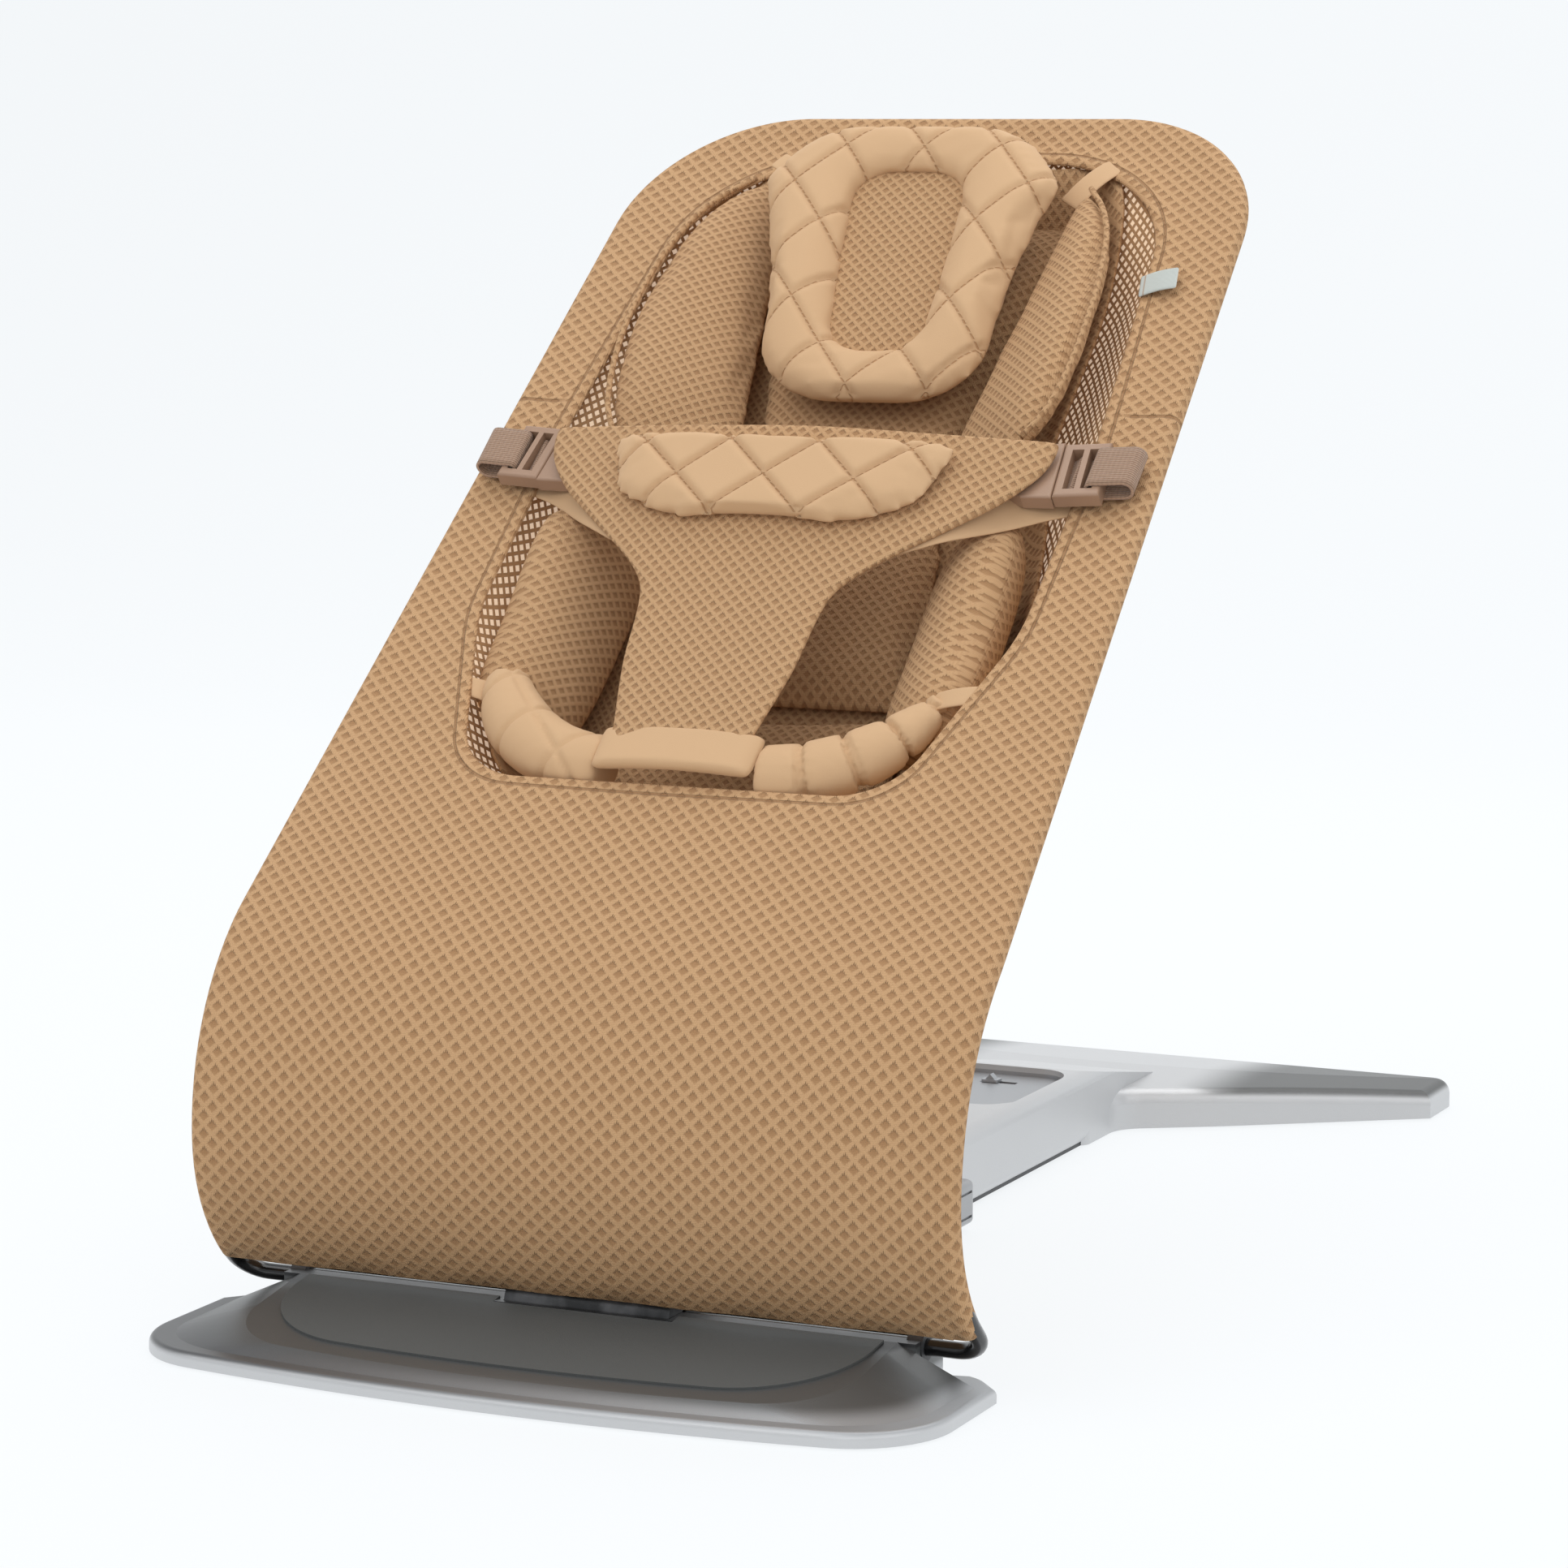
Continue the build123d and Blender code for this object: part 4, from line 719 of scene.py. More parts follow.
materials = {
    "cover": knitMaterial("coverKnit", 0.0092, 0.0084, seam=True, relief=0.0007),
    "insert": knitMaterial("insertKnit", 0.0068, 0.0064, relief=0.0007),
    "harness": knitMaterial("harnessKnit", 0.0072, 0.0068, relief=0.0007),
    "quilted": smoothMaterial("quiltedCloth", 0.044, 0.052),
    "bib": smoothMaterial("bibCloth", 0.048, 0.044),
    "smooth": smoothMaterial("smoothCloth"),
    "net": netMaterial(),
    "webbing": webbingMaterial(),
    "buckle": hardMaterial("bucklePlastic", linear(166, 134, 110), linear(146, 116, 94), 0.42),
    "silver": hardMaterial("silverPaint", linear(168, 169, 171), linear(152, 154, 156), 0.33, metallic=0.55,
                           wear=linear(214, 215, 217)),
    "foot": footMaterial(),
    "hatch": hardMaterial("hatchSilver", linear(176, 178, 181), linear(160, 162, 165), 0.4, metallic=0.7),
    "inlay": hardMaterial("darkInlay", linear(90, 92, 91), linear(78, 80, 79), 0.62, bump=0.0001,
                          Specular_IOR_Level=0.25),
    "plastic": hardMaterial("darkPlastic", linear(70, 71, 73), linear(52, 53, 55), 0.5),
    "rubber": hardMaterial("gripRubber", linear(52, 52, 53), linear(38, 38, 39), 0.85, bump=0.0002),
    "steel": hardMaterial("zincSteel", linear(178, 180, 182), linear(150, 152, 156), 0.3, metallic=1.0),
    "wire": hardMaterial("blackWire", linear(22, 22, 23), linear(14, 14, 15), 0.22, Coat_Weight=0.5,
                         Coat_Roughness=0.08),
    "tag": tagMaterial(),
}
print("materials made")

slotOfMaterial = {
    "silver_shell": "silver", "silver_hatch": "hatch", "dark_inlay": "inlay", "dark_plastic": "plastic",
    "grip_rubber": "rubber", "zinc_steel": "steel", "black_wire": "wire", "buckle_plastic": "buckle",
    "honeycomb_fabric": "insert", "net_fabric": "net", "smooth_fabric": "smooth", "webbing": "webbing",
    "tag_fabric": "tag",
}

def dress(piece, look, body="seat", slot=None, replaced=()):
    # the piece takes its finish, rides on its body and stands for its CAD nodes
    piece.data.materials.clear()
    piece.data.materials.append(materials[look])
    if body:
        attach(piece, body)
    if slot:
        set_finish(piece, slot)
    if replaced:
        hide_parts(*replaced)
    return piece


# ---- cover
coverSizes = {
    "half": 0.1975, "topHalf": 0.1756, "length": 0.574, "corner": 0.090, "hem": -0.1817,
    "inset": 0.0055, "thickness": 0.0013, "rows": 24, "step": 0.0065, "sag": 0.004,
}
openingCorners = [(-0.112, 0.092), (0.112, 0.092), (0.146, 0.200), (0.146, 0.330), (0.132, 0.536),
                  (-0.132, 0.536), (-0.146, 0.330), (-0.146, 0.200)]
openingRadii = [0.040, 0.040, 0.110, 0.110, 0.080, 0.080, 0.110, 0.110]
openingLine = roundCorners(openingCorners, openingRadii)
openingCentre = Vector((0, 0.310))


def makeCover():
    half, inset = coverSizes["half"] - coverSizes["inset"], coverSizes["inset"]
    top = coverSizes["length"] - inset
    topHalf = coverSizes["topHalf"] - inset
    corners = [(-half, coverSizes["hem"]), (-half, 0), (-topHalf, top), (topHalf, top), (half, 0),
               (half, coverSizes["hem"])]
    edge = roundCorners(corners, [0, 0.4, coverSizes["corner"] - inset, coverSizes["corner"] - inset, 0.4, 0])
    railPoints = spaced(edge, coverSizes["step"], closed=False)
    hemPoints = spaced([edge[-1], edge[0]], coverSizes["step"], closed=False)[1:-1]
    columns = [(p, True) for p in railPoints] + [(p, False) for p in hemPoints]
    out = seatLine["wireOut"]
    rows, marks, distances = [], [], []
    count = coverSizes["rows"]
    sleeveTurns = [90 - 180 * k / 9 for k in range(1, 10)]
    for i, (point, isRail) in enumerate(columns):
        hit = rayHit(openingLine, openingCentre, point)
        span = (point - hit).length
        direction = (point - hit) / span
        column = [
            (hit + direction * 0.010, out - 0.0032, 0.0),
            (hit + direction * 0.002, out - 0.0034, 0.0),
            (hit, out - 0.0018, 0.0),
            (hit + direction * 0.0012, out - 0.0004, 0.0),
        ]
        for k in range(count + 1):
            run = 0.0035 + (span - 0.0035) * (k / count)
            place = hit + direction * run
            middle = 1 - (place.x / half) ** 2
            sag = coverSizes["sag"] * middle * smooth(0.09, -0.05, place.y) * smooth(0.0, 0.05, span - run)
            sag += 0.0012 * smooth(0, 0.02, run) * smooth(0, 0.02, span - run) * smooth(0, 0.04,
                0.05 - abs(span - 0.05))
            ripple = noise.noise(Vector((place.x * 9, place.y * 7, 0.3))) * 0.0009 * smooth(0, 0.02,
                span - run)
            column.append((place, out - sag + ripple, run))
        if isRail:
            before = columns[max(i - 1, 0)][0]
            after = columns[min(i + 1, len(railPoints) - 1)][0]
            tangent = (after - before).normalized()
            outward = Vector((-tangent.y, tangent.x))
            for turn in sleeveTurns:
                angle = math.radians(turn)
                column.append((point + outward * math.cos(angle) * out, math.sin(angle) * out, 0.05))
            for reach, lift in ((0.004, 0.0), (0.009, 0.0009), (0.013, 0.0016)):
                column.append((point - outward * reach, -out + lift, 0.05))
        else:
            fold = 0.0006 * math.sin(point.x * 90)
            for k in range(1, 6):
                angle = math.radians(90 - 36 * k)
                drop = Vector((0, -0.0015 * math.cos(angle) + fold))
                column.append((point + drop, out - 0.0018 + 0.0018 * math.sin(angle), 0.05))
            for k in range(7):
                column.append((point + Vector((0, 0.0022 * (k + 1))), out - 0.0038, 0.05))
        rows.append([seatPoint(p.x, p.y, m) for p, m, d in column])
        marks.append([(p.x, p.y) for p, m, d in column])
        distances.append([d for p, m, d in column])
        if isRail:
            for k, turn in enumerate(sleeveTurns + [-100, -130, -160]):
                wrap = out * math.radians(90 - turn)
                spot = point + outward * wrap
                marks[-1][count + 5 + k] = (spot.x, spot.y)
    # columns run round the opening, rows from its edge outwards
    total = len(columns)
    skip = set()
    width = len(rows[0])
    for c in range(count + 4, width - 1):
        skip.add((len(railPoints) - 1, c))
        skip.add((total - 1, c))
    rows.append(rows[0])
    marks.append(marks[0])
    distances.append(distances[0])
    cover = gridPiece("seatCover", rows, marks, skip=skip)
    run = cover.data.attributes.new("fromEdge", "FLOAT", "POINT")
    flat = [d for row in distances for d in row]
    run.data.foreach_set("value", flat)
    form = bmesh.new()
    form.from_mesh(cover.data)
    bmesh.ops.remove_doubles(form, verts=form.verts, dist=1e-5)
    form.to_mesh(cover.data)
    form.free()
    return cover


cover = makeCover()
# faces look outwards before the cloth gets its thickness
lowFace = min(cover.data.polygons, key=lambda f: (f.center - seatPoint(0, 0.0, 0.006)).length)
if lowFace.normal.dot(facingSeat) < 0:
    cover.data.flip_normals()
addModifier(cover, "SOLIDIFY", thickness=coverSizes["thickness"], offset=-1.0)
shadeSmooth(cover)
dress(cover, "cover", slot="honeycomb_fabric", replaced=("seat_cover",))
print("cover made")


# ---- net
netSizes = {"deep": 0.058, "deepTo": 0.180, "shallow": 0.026, "shallowAt": 0.536, "reach": 0.050, "rings": 26}


def makeNet():
    rows, marks = [], []
    loop = spaced(openingLine, 0.007)
    for k in range(netSizes["rings"] + 1):
        row, markRow = [], []
        for point in loop:
            outward = (point - openingCentre).normalized()
            rim = point + outward * 0.006
            span = (rim - openingCentre).length
            share = (k / netSizes["rings"]) ** 1.35
            place = rim.lerp(openingCentre, min(share, 0.995))
            run = span * share
            fall = (netSizes["deep"] - netSizes["shallow"]) / (netSizes["shallowAt"] - netSizes["deepTo"])
            depth = netSizes["deep"] - max(0.0, place.y - netSizes["deepTo"]) * fall
            reach = netSizes["reach"] + 0.020 * smooth(0.29, 0.36, place.y)
            drop = math.sin(min(run / reach, 1.0) * math.pi / 2)
            row.append(seatPoint(place.x, place.y, 0.0012 - depth * drop))
            slant = run + depth * drop * 0.6
            spot = rim - outward * slant
            markRow.append((spot.x, spot.y))
        rows.append(row)
        marks.append(markRow)
    return gridPiece("meshBucket", rows, marks, closed=True)


net = makeNet()
shadeSmooth(net)
dress(net, "net", slot="net_fabric", replaced=("mesh_bucket",))
print("net made")


# ---- pads
def closedPad(name, outline, centre, place, thickness, roll, crown=0.0, rings=10, hole=None):
    loop = spaced(outline, 0.005)
    rows = []
    shares = [1 - (1 - k / rings) ** 1.6 for k in range(rings + 1)]      # 0 at the edge, 1 inside
    order = [(1, s) for s in reversed(shares)] + [(-1, s) for s in shares[1:]]
    for sign, share in order:
        row = []
        for point in loop:
            inner = rayHit(hole, centre, point) if hole else centre
            spot = point.lerp(inner, share)
            fromEdge = (point - spot).length
            if hole:
                fromEdge = min(fromEdge, (spot - inner).length)
            t = min(fromEdge / roll, 1.0)
            lift = math.sqrt(max(0.0, 1 - (1 - t) ** 2)) * thickness / 2
            bulge = crown * smooth(0, 0.06, fromEdge) if sign == 1 else 0.0
            row.append(place(spot.x, spot.y, sign * lift + bulge))
        rows.append(row)
    if hole:
        rows.append(rows[0])
    piece = gridPiece(name, rows, closed=True)
    closePoles(piece)
    return piece


def finishPad(piece, look, replaced, lean=0.0, slot="smooth_fabric"):
    addModifier(piece, "SUBSURF", levels=1, render_levels=1)
    mapCloth(piece, lean)
    shadeSmooth(piece)
    dress(piece, look, slot=slot, replaced=replaced)


def mirrored(piece, name):
    copy = piece.copy()
    copy.data = piece.data.copy()
    copy.name = name
    scene.collection.objects.link(copy)
    for vertex in copy.data.vertices:
        vertex.co.x = -vertex.co.x
    copy.data.flip_normals()
    return copy


def netFloor(up):
    fall = (0.062 - 0.026) / (0.536 - 0.180)
    return -0.062 + max(0.0, up - 0.180) * fall


# insert shell: the cloth bowl inside the net that carries the pads
shellSizes = {
    "low": 0.100, "high": 0.5345, "gap": 0.0035, "reach": 0.046,
    "halves": [(0.100, 0.070), (0.112, 0.103), (0.135, 0.121), (0.160, 0.128), (0.230, 0.128), (0.300, 0.118),
               (0.345, 0.106), (0.400, 0.106), (0.470, 0.108), (0.510, 0.106), (0.5345, 0.098)],
}


def makeShell():
    rows, marks = [], []
    for r in range(56):
        up = shellSizes["low"] + (shellSizes["high"] - shellSizes["low"]) * r / 55
        half = between(shellSizes["halves"], up)
        row, markRow = [], []
        for c in range(49):
            side = -1 + 2 * c / 48
            across = half * math.copysign(abs(side) ** 0.8, side)
            edge = min(half - abs(across), up - shellSizes["low"] + 0.004, shellSizes["high"] - up + 0.004)
            rim = rayHit(openingLine, openingCentre, Vector((across, up)))
            inside = (rim - Vector((across, up))).length + 0.006
            reach = netSizes["reach"] + 0.020 * smooth(0.29, 0.36, up)
            drop = math.sin(min(inside / reach, 1.0) * math.pi / 2)
            fall = (netSizes["deep"] - netSizes["shallow"]) / (netSizes["shallowAt"] - netSizes["deepTo"])
            depth = netSizes["deep"] - max(0.0, up - netSizes["deepTo"]) * fall
            lift = 0.004 * (1 - smooth(0, 0.012, edge))
            row.append(seatPoint(across, up, shellSizes["gap"] + lift - depth * drop))
            markRow.append((math.copysign(abs(across) + depth * drop * 0.5 * smooth(0.04, 0.12, abs(across)),
                                          across), up))
        rows.append(row)
        marks.append(markRow)
    return gridPiece("insertShell", rows, marks)


shell = makeShell()
middleFace = min(shell.data.polygons, key=lambda f: (f.center - seatPoint(0, 0.3, -0.04)).length)
if middleFace.normal.dot(facingSeat) < 0:
    shell.data.flip_normals()
addModifier(shell, "SOLIDIFY", thickness=0.0018, offset=-1.0)
shadeSmooth(shell)
dress(shell, "insert", slot="honeycomb_fabric")
print("insert shell made")

# back pad: the panel behind the head and back
backSizes = {"low": 0.183, "high": 0.512, "thickness": 0.015,
             "halves": [(0.183, 0.078), (0.27, 0.072), (0.33, 0.060), (0.40, 0.070), (0.512, 0.096)]}
backOutline = []
for k in range(17):
    up = backSizes["low"] + (backSizes["high"] - backSizes["low"]) * k / 16
    backOutline.append(Vector((between(backSizes["halves"], up), up)))
backOutline += [Vector((-p.x, p.y)) for p in reversed(backOutline)]
backPad = closedPad(
    "backPad", backOutline, Vector((0, 0.35)),
    lambda x, up, out: seatPoint(x, up, netFloor(up) + 0.0125 + out), backSizes["thickness"], 0.012,
                    crown=0.003,
)
puff(backPad, cap=0.003)
finishPad(backPad, "insert", ("insert_back_pad",), slot="honeycomb_fabric")

# seat pad at the foot of the bucket
seatPadOutline = roundCorners([(-0.082, 0.114), (0.082, 0.114), (0.084, 0.186), (-0.084, 0.186)],
                              [0.03, 0.03, 0.01, 0.01])
seatPad = closedPad("seatPad", seatPadOutline, Vector((0, 0.150)),
                    lambda x, up, out: seatPoint(x, up, -0.0515 + out), 0.013, 0.010, crown=0.003)
puff(seatPad, cap=0.003)
finishPad(seatPad, "insert", ("insert_seat_pad",), slot="honeycomb_fabric")
print("back and seat pads made")

# head wings: puffy side panels that curl forward
wingSizes = {
    "inner": [(0.316, 0.058), (0.40, 0.068), (0.528, 0.092)],
    "outer": [(0.316, 0.110), (0.345, 0.124), (0.40, 0.132), (0.46, 0.129), (0.50, 0.118), (0.528, 0.100)],
    "innerOut": [(0.316, -0.024), (0.40, -0.020), (0.528, -0.012)],
    "outerOut": [(0.316, 0.004), (0.40, 0.010), (0.48, 0.008), (0.528, 0.000)],
    "thickness": 0.021,
    "reach": {1: [(0.316, 0.97), (0.36, 0.93), (0.46, 0.82),
                  (0.528, 0.72)],      # the right wing curls in more
              -1: [(0.316, 1.03), (0.528, 1.03)]},
    "curl": {1: 0.006, -1: 0.0},
    "drop": {1: 0.014, -1: 0.0},
}


def settleWing(piece, side):
    # each wing is drawn in or spread from its inner seam
    for vertex in piece.data.vertices:
        across, up, out = onSeat(vertex.co)
        away = side * across - 0.060
        out += wingSizes["curl"][side] * smooth(0.01, 0.06, away)
        across = side * (0.060 + away * between(wingSizes["reach"][side], up))
        vertex.co = seatPoint(across, up - wingSizes["drop"][side] * smooth(0.45, 0.53, up), out)
    piece.data.update()


def wingRows(side, rowCount=30, aroundCount=28):
    rows = []
    for r in range(rowCount + 1):
        share = 0.5 - 0.5 * math.cos(math.pi * r / rowCount)
        up = 0.316 + (0.528 - 0.316) * share
        inner, outer = between(wingSizes["inner"], up), between(wingSizes["outer"], up)
        low, high = between(wingSizes["innerOut"], up), between(wingSizes["outerOut"], up)
        ends = math.sqrt(max(0.0, 1 - abs(2 * share - 1) ** 5))
        row = []
        for k in range(aroundCount):
            turn = 2 * math.pi * k / aroundCount
            u = 0.5 - 0.5 * math.cos(turn)
            thick = math.copysign(abs(math.sin(turn)) ** 0.6,
                                  math.sin(turn)) * wingSizes["thickness"] / 2 * ends
            across = inner + (outer - inner) * u
            out = low + (high - low) * u ** 1.25 + 0.006 * math.sin(math.pi * u) * ends
            tilt = math.atan2(high - low, outer - inner)
            row.append(seatPoint(side * (across - math.sin(tilt) * thick), up, out + math.cos(tilt) * thick))
        rows.append(row)
    return rows


wing = gridPiece("headWingRight", wingRows(1), closed=True)
closePoles(wing)
puff(wing, cap=0.004, pressure=3.0)
wingLeft = mirrored(wing, "headWingLeft")
settleWing(wing, 1)
settleWing(wingLeft, -1)
finishPad(wing, "insert", ("head_wing_right",), lean=math.radians(24), slot="honeycomb_fabric")
finishPad(wingLeft, "insert", ("head_wing_left",), lean=math.radians(-24), slot="honeycomb_fabric")


def wingEdge(side):
    path = []
    for r in range(41):
        up = 0.322 + (0.522 - 0.322) * r / 40
        across = 0.060 + (between(wingSizes["outer"], up) - 0.0595) * between(wingSizes["reach"][side], up)
        path.append(seatPoint(side * across, up - wingSizes["drop"][side] * smooth(0.45, 0.53, up),
                              between(wingSizes["outerOut"], up) + 0.005 + wingSizes["curl"][side]))
    return path


for side, label, node in ((1, "Right", "right"), (-1, "Left", "left")):
    cordEdge = tubePiece("wingPiping" + label, wingEdge(side), 0.0016, sides=8)
    mapCloth(cordEdge)
    dress(cordEdge, "insert", slot="honeycomb_fabric")
print("head wings made")

# thigh bolsters: wedges that lean inwards
bolsterSizes = {"low": 0.142, "high": 0.278, "inner": 0.084, "outer": 0.132, "bottom": -0.046, "top": 0.006,
                "shift": -0.005}       # the insert is worn a little to the left


def bolsterRows(rowCount=26, aroundCount=28):
    rows = []
    for r in range(rowCount + 1):
        share = 0.5 - 0.5 * math.cos(math.pi * r / rowCount)
        up = bolsterSizes["low"] + (bolsterSizes["high"] - bolsterSizes["low"]) * share
        ends = math.sqrt(max(0.0, 1 - abs(2 * share - 1) ** 4))
        rise = bolsterSizes["top"] + 0.012 * smooth(0.3, 1.0, share) - 0.004
        row = []
        for k in range(aroundCount):
            turn = 2 * math.pi * k / aroundCount
            a = math.copysign(abs(math.cos(turn)) ** 0.75, math.cos(turn))
            b = math.copysign(abs(math.sin(turn)) ** 0.75, math.sin(turn))
            middleOut = (bolsterSizes["bottom"] + rise) / 2
            heightHalf = (rise - bolsterSizes["bottom"]) / 2 * (0.35 + 0.65 * ends)
            out = middleOut + b * heightHalf
            lean = 0.010 * b
            halfWidth = (bolsterSizes["outer"] - bolsterSizes["inner"]) / 2 * (0.5 + 0.5 * ends) * (1 - 0.25 * max(b, 0))
            across = (bolsterSizes["inner"] + bolsterSizes["outer"]) / 2 + lean + a * halfWidth
            row.append(seatPoint(across, up, out))
        rows.append(row)
    return rows


bolster = gridPiece("thighBolsterRight", bolsterRows(), closed=True)
closePoles(bolster)
puff(bolster, cap=0.003, pressure=3.0)
bolsterLeft = mirrored(bolster, "thighBolsterLeft")
for side in (bolster, bolsterLeft):
    for vertex in side.data.vertices:
        vertex.co.x += bolsterSizes["shift"]
finishPad(bolster, "insert", ("thigh_bolster_right",), lean=math.radians(50), slot="honeycomb_fabric")
finishPad(bolsterLeft, "insert", ("thigh_bolster_left",), lean=math.radians(-50),
          slot="honeycomb_fabric")
print("bolsters made")

# seat roll: quilted smooth cloth round the foot of the opening
rollSizes = {
    "path": [(0.040, 0.1060), (0.060, 0.1085), (0.080, 0.1165), (0.098, 0.1300), (0.110, 0.1460),
             (0.116, 0.1600)],
    "radius": [(0.0, 0.0158), (0.35, 0.0160), (0.7, 0.0130), (1.0, 0.0065)],
    "plump": [(0.0, 0.0158), (0.35, 0.0165), (0.7, 0.0160), (1.0, 0.0110)],       # the left lobe is fuller
    "channel": 0.0235,
}


def rollPath(side):
    # evenly spaced along a soft curve through the path's points
    points = [Vector((side * a, b)) for a, b in rollSizes["path"]]
    line = []
    for i in range(len(points) - 1):
        p0 = points[max(i - 1, 0)]
        p1, p2 = points[i], points[i + 1]
        p3 = points[min(i + 2, len(points) - 1)]
        for k in range(10):
            t = k / 10
            line.append(0.5 * ((2 * p1) + (p2 - p0) * t + (2 * p0 - 5 * p1 + 4 * p2 - p3) * t * t
                               + (3 * p1 - p0 - 3 * p2 + p3) * t ** 3))
    line.append(points[-1])
    return line


def makeRoll(name, side):
    line = rollPath(side)
    runs = [0.0]
    for a, b in zip(line, line[1:]):
        runs.append(runs[-1] + (b - a).length)
    total = runs[-1]
    rows = []
    for i, point in enumerate(line):
        ahead = (line[min(i + 1, len(line) - 1)] - line[max(i - 1, 0)]).normalized()
        across = Vector((-ahead.y, ahead.x))
        share = runs[i] / total
        radius = between(rollSizes["radius" if side > 0 else "plump"], share)
        if side > 0:
            bay = abs(runs[i] / rollSizes["channel"] - round(runs[i] / rollSizes["channel"]))
            radius -= 0.0022 * math.exp(-(bay / 0.09) ** 2)
        if i in (0, len(line) - 1):
            radius *= 0.55
        row = []
        for k in range(24):
            turn = 2 * math.pi * k / 24
            spot = point + across * math.cos(turn) * radius * 1.06
            row.append(seatPoint(spot.x, spot.y, -0.002 + math.sin(turn) * radius * 0.88))
        rows.append(row)
    piece = gridPiece(name, rows, closed=True)
    closePoles(piece)
    return piece


rollRight = makeRoll("seatRollRight", 1)
puff(rollRight, voxel=0.003, cap=0.0012, pressure=2.0)


def rollGroove(co, normal):
    # sewn channels across the roll, evenly spaced along it
    across, up = onSeat(co)[:2]
    line = rollPath(1)
    run, best, bestRun = 0.0, 1.0, 0.0
    for i, point in enumerate(line):
        if i:
            run += (point - line[i - 1]).length
        gap = (Vector((across, up)) - point).length
        if gap < best:
            best, bestRun = gap, run
    bay = bestRun / rollSizes["channel"]
    return -0.0030 * math.exp(-((bay - round(bay)) / 0.06) ** 2)


addModifier(rollRight, "SUBSURF", levels=1, render_levels=1)
moveOut(rollRight, rollGroove)
rollLeft = makeRoll("seatRollLeft", -1)
puff(rollLeft, voxel=0.0035, cap=0.002, pressure=3.0)
addModifier(rollLeft, "SUBSURF", levels=1, render_levels=1)
moveOut(rollLeft, lambda co, n: -0.0018 * math.exp(-(diamondGap(onSeat(co)[0] + 0.02, onSeat(co)[1], 0.044,
                                                                0.052) / 0.045) ** 2))
for roll, fill in ((rollRight, 0.8), (rollLeft, 0.7)):
    mapCloth(roll)
    shadeSmooth(roll)
    dress(roll, "smooth", slot="smooth_fabric", replaced=("seat_roll",))
print("seat roll made")

# ---- head pillow
pillowSizes = {"tilt": math.radians(8), "low": 0.3565, "thickness": 0.018, "lift": 0.001, "hang": 0.015,
               "length": 0.895}
pillowAlong = alongSeat * math.cos(pillowSizes["tilt"]) + facingSeat * math.sin(pillowSizes["tilt"])
pillowFacing = facingSeat * math.cos(pillowSizes["tilt"]) - alongSeat * math.sin(pillowSizes["tilt"])
pillowOrigin = seatPoint(0, pillowSizes["low"], pillowSizes["lift"])


def pillowPoint(across, up, out):
    # it hangs a little askew, its foot to the right
    across += pillowSizes["hang"] * (1 - up / 0.19) - 0.006
    up *= pillowSizes["length"]
    return pillowOrigin + Vector((across, 0, 0)) + pillowAlong * up + pillowFacing * out


pillowOutline = roundCorners(
    [(-0.062, 0.001), (0.062, 0.001), (0.068, 0.060), (0.086, 0.168), (0.058, 0.207), (-0.058, 0.207),
     (-0.086, 0.168),
     (-0.068, 0.060)],
    [0.048, 0.048, 0.2, 0.012, 0.05, 0.05, 0.012, 0.2])
pillowHole = roundCorners([(-0.025, 0.037), (0.025, 0.037), (0.0315, 0.172), (-0.0315, 0.172)],
                          [0.022, 0.022, 0.020, 0.020])
pillow = closedPad("headPillow", pillowOutline, Vector((0, 0.102)), pillowPoint, pillowSizes["thickness"],
                   0.016, hole=pillowHole)
puff(pillow, voxel=0.004, cap=0.004)
addModifier(pillow, "SUBSURF", levels=1, render_levels=1)


def quiltPillow(co, normal):
    across, up = onSeat(co)[:2]
    if normal.dot(facingSeat) < 0.1:
        return 0.0
    gap = diamondGap(across, up, 0.044, 0.052)
    return -0.0021 * math.exp(-(gap / 0.048) ** 2)


moveOut(pillow, quiltPillow)
mapCloth(pillow)
shadeSmooth(pillow)
dress(pillow, "quilted", slot="smooth_fabric", replaced=("head_pillow",))
print("head pillow made")

pillowBackOutline = roundCorners([(-0.044, 0.022), (0.044, 0.022), (0.047, 0.184), (-0.047, 0.184)],
                                 [0.03] * 4)
pillowBack = closedPad("pillowBack", pillowBackOutline, Vector((0, 0.102)),
                       lambda x, up, out: pillowPoint(x, up, -0.0035 + out), 0.007, 0.006, crown=0.001)
finishPad(pillowBack, "insert", (), slot="honeycomb_fabric")
print("pillow panel made")

# ---- harness
harnessSizes = {
    "tilt": math.radians(6.5), "foot": 0.118, "lift": 0.012, "top": 0.188, "bow": 0.687, "thickness": 0.0028,
    "halves": [(0.0, 0.037), (0.04, 0.0455), (0.084, 0.051), (0.100, 0.062), (0.116, 0.080), (0.134, 0.102),
               (0.150, 0.120), (0.168, 0.134), (0.180, 0.138)],
}
harnessAlong = alongSeat * math.cos(harnessSizes["tilt"]) + facingSeat * math.sin(harnessSizes["tilt"])
harnessFacing = facingSeat * math.cos(harnessSizes["tilt"]) - alongSeat * math.sin(harnessSizes["tilt"])
harnessOrigin = seatPoint(0, harnessSizes["foot"], harnessSizes["lift"])


def harnessPoint(across, up, out):
    sink = across * across / (2 * harnessSizes["bow"])
    return harnessOrigin + Vector((across, 0, 0)) + harnessAlong * up + harnessFacing * (out - sink)


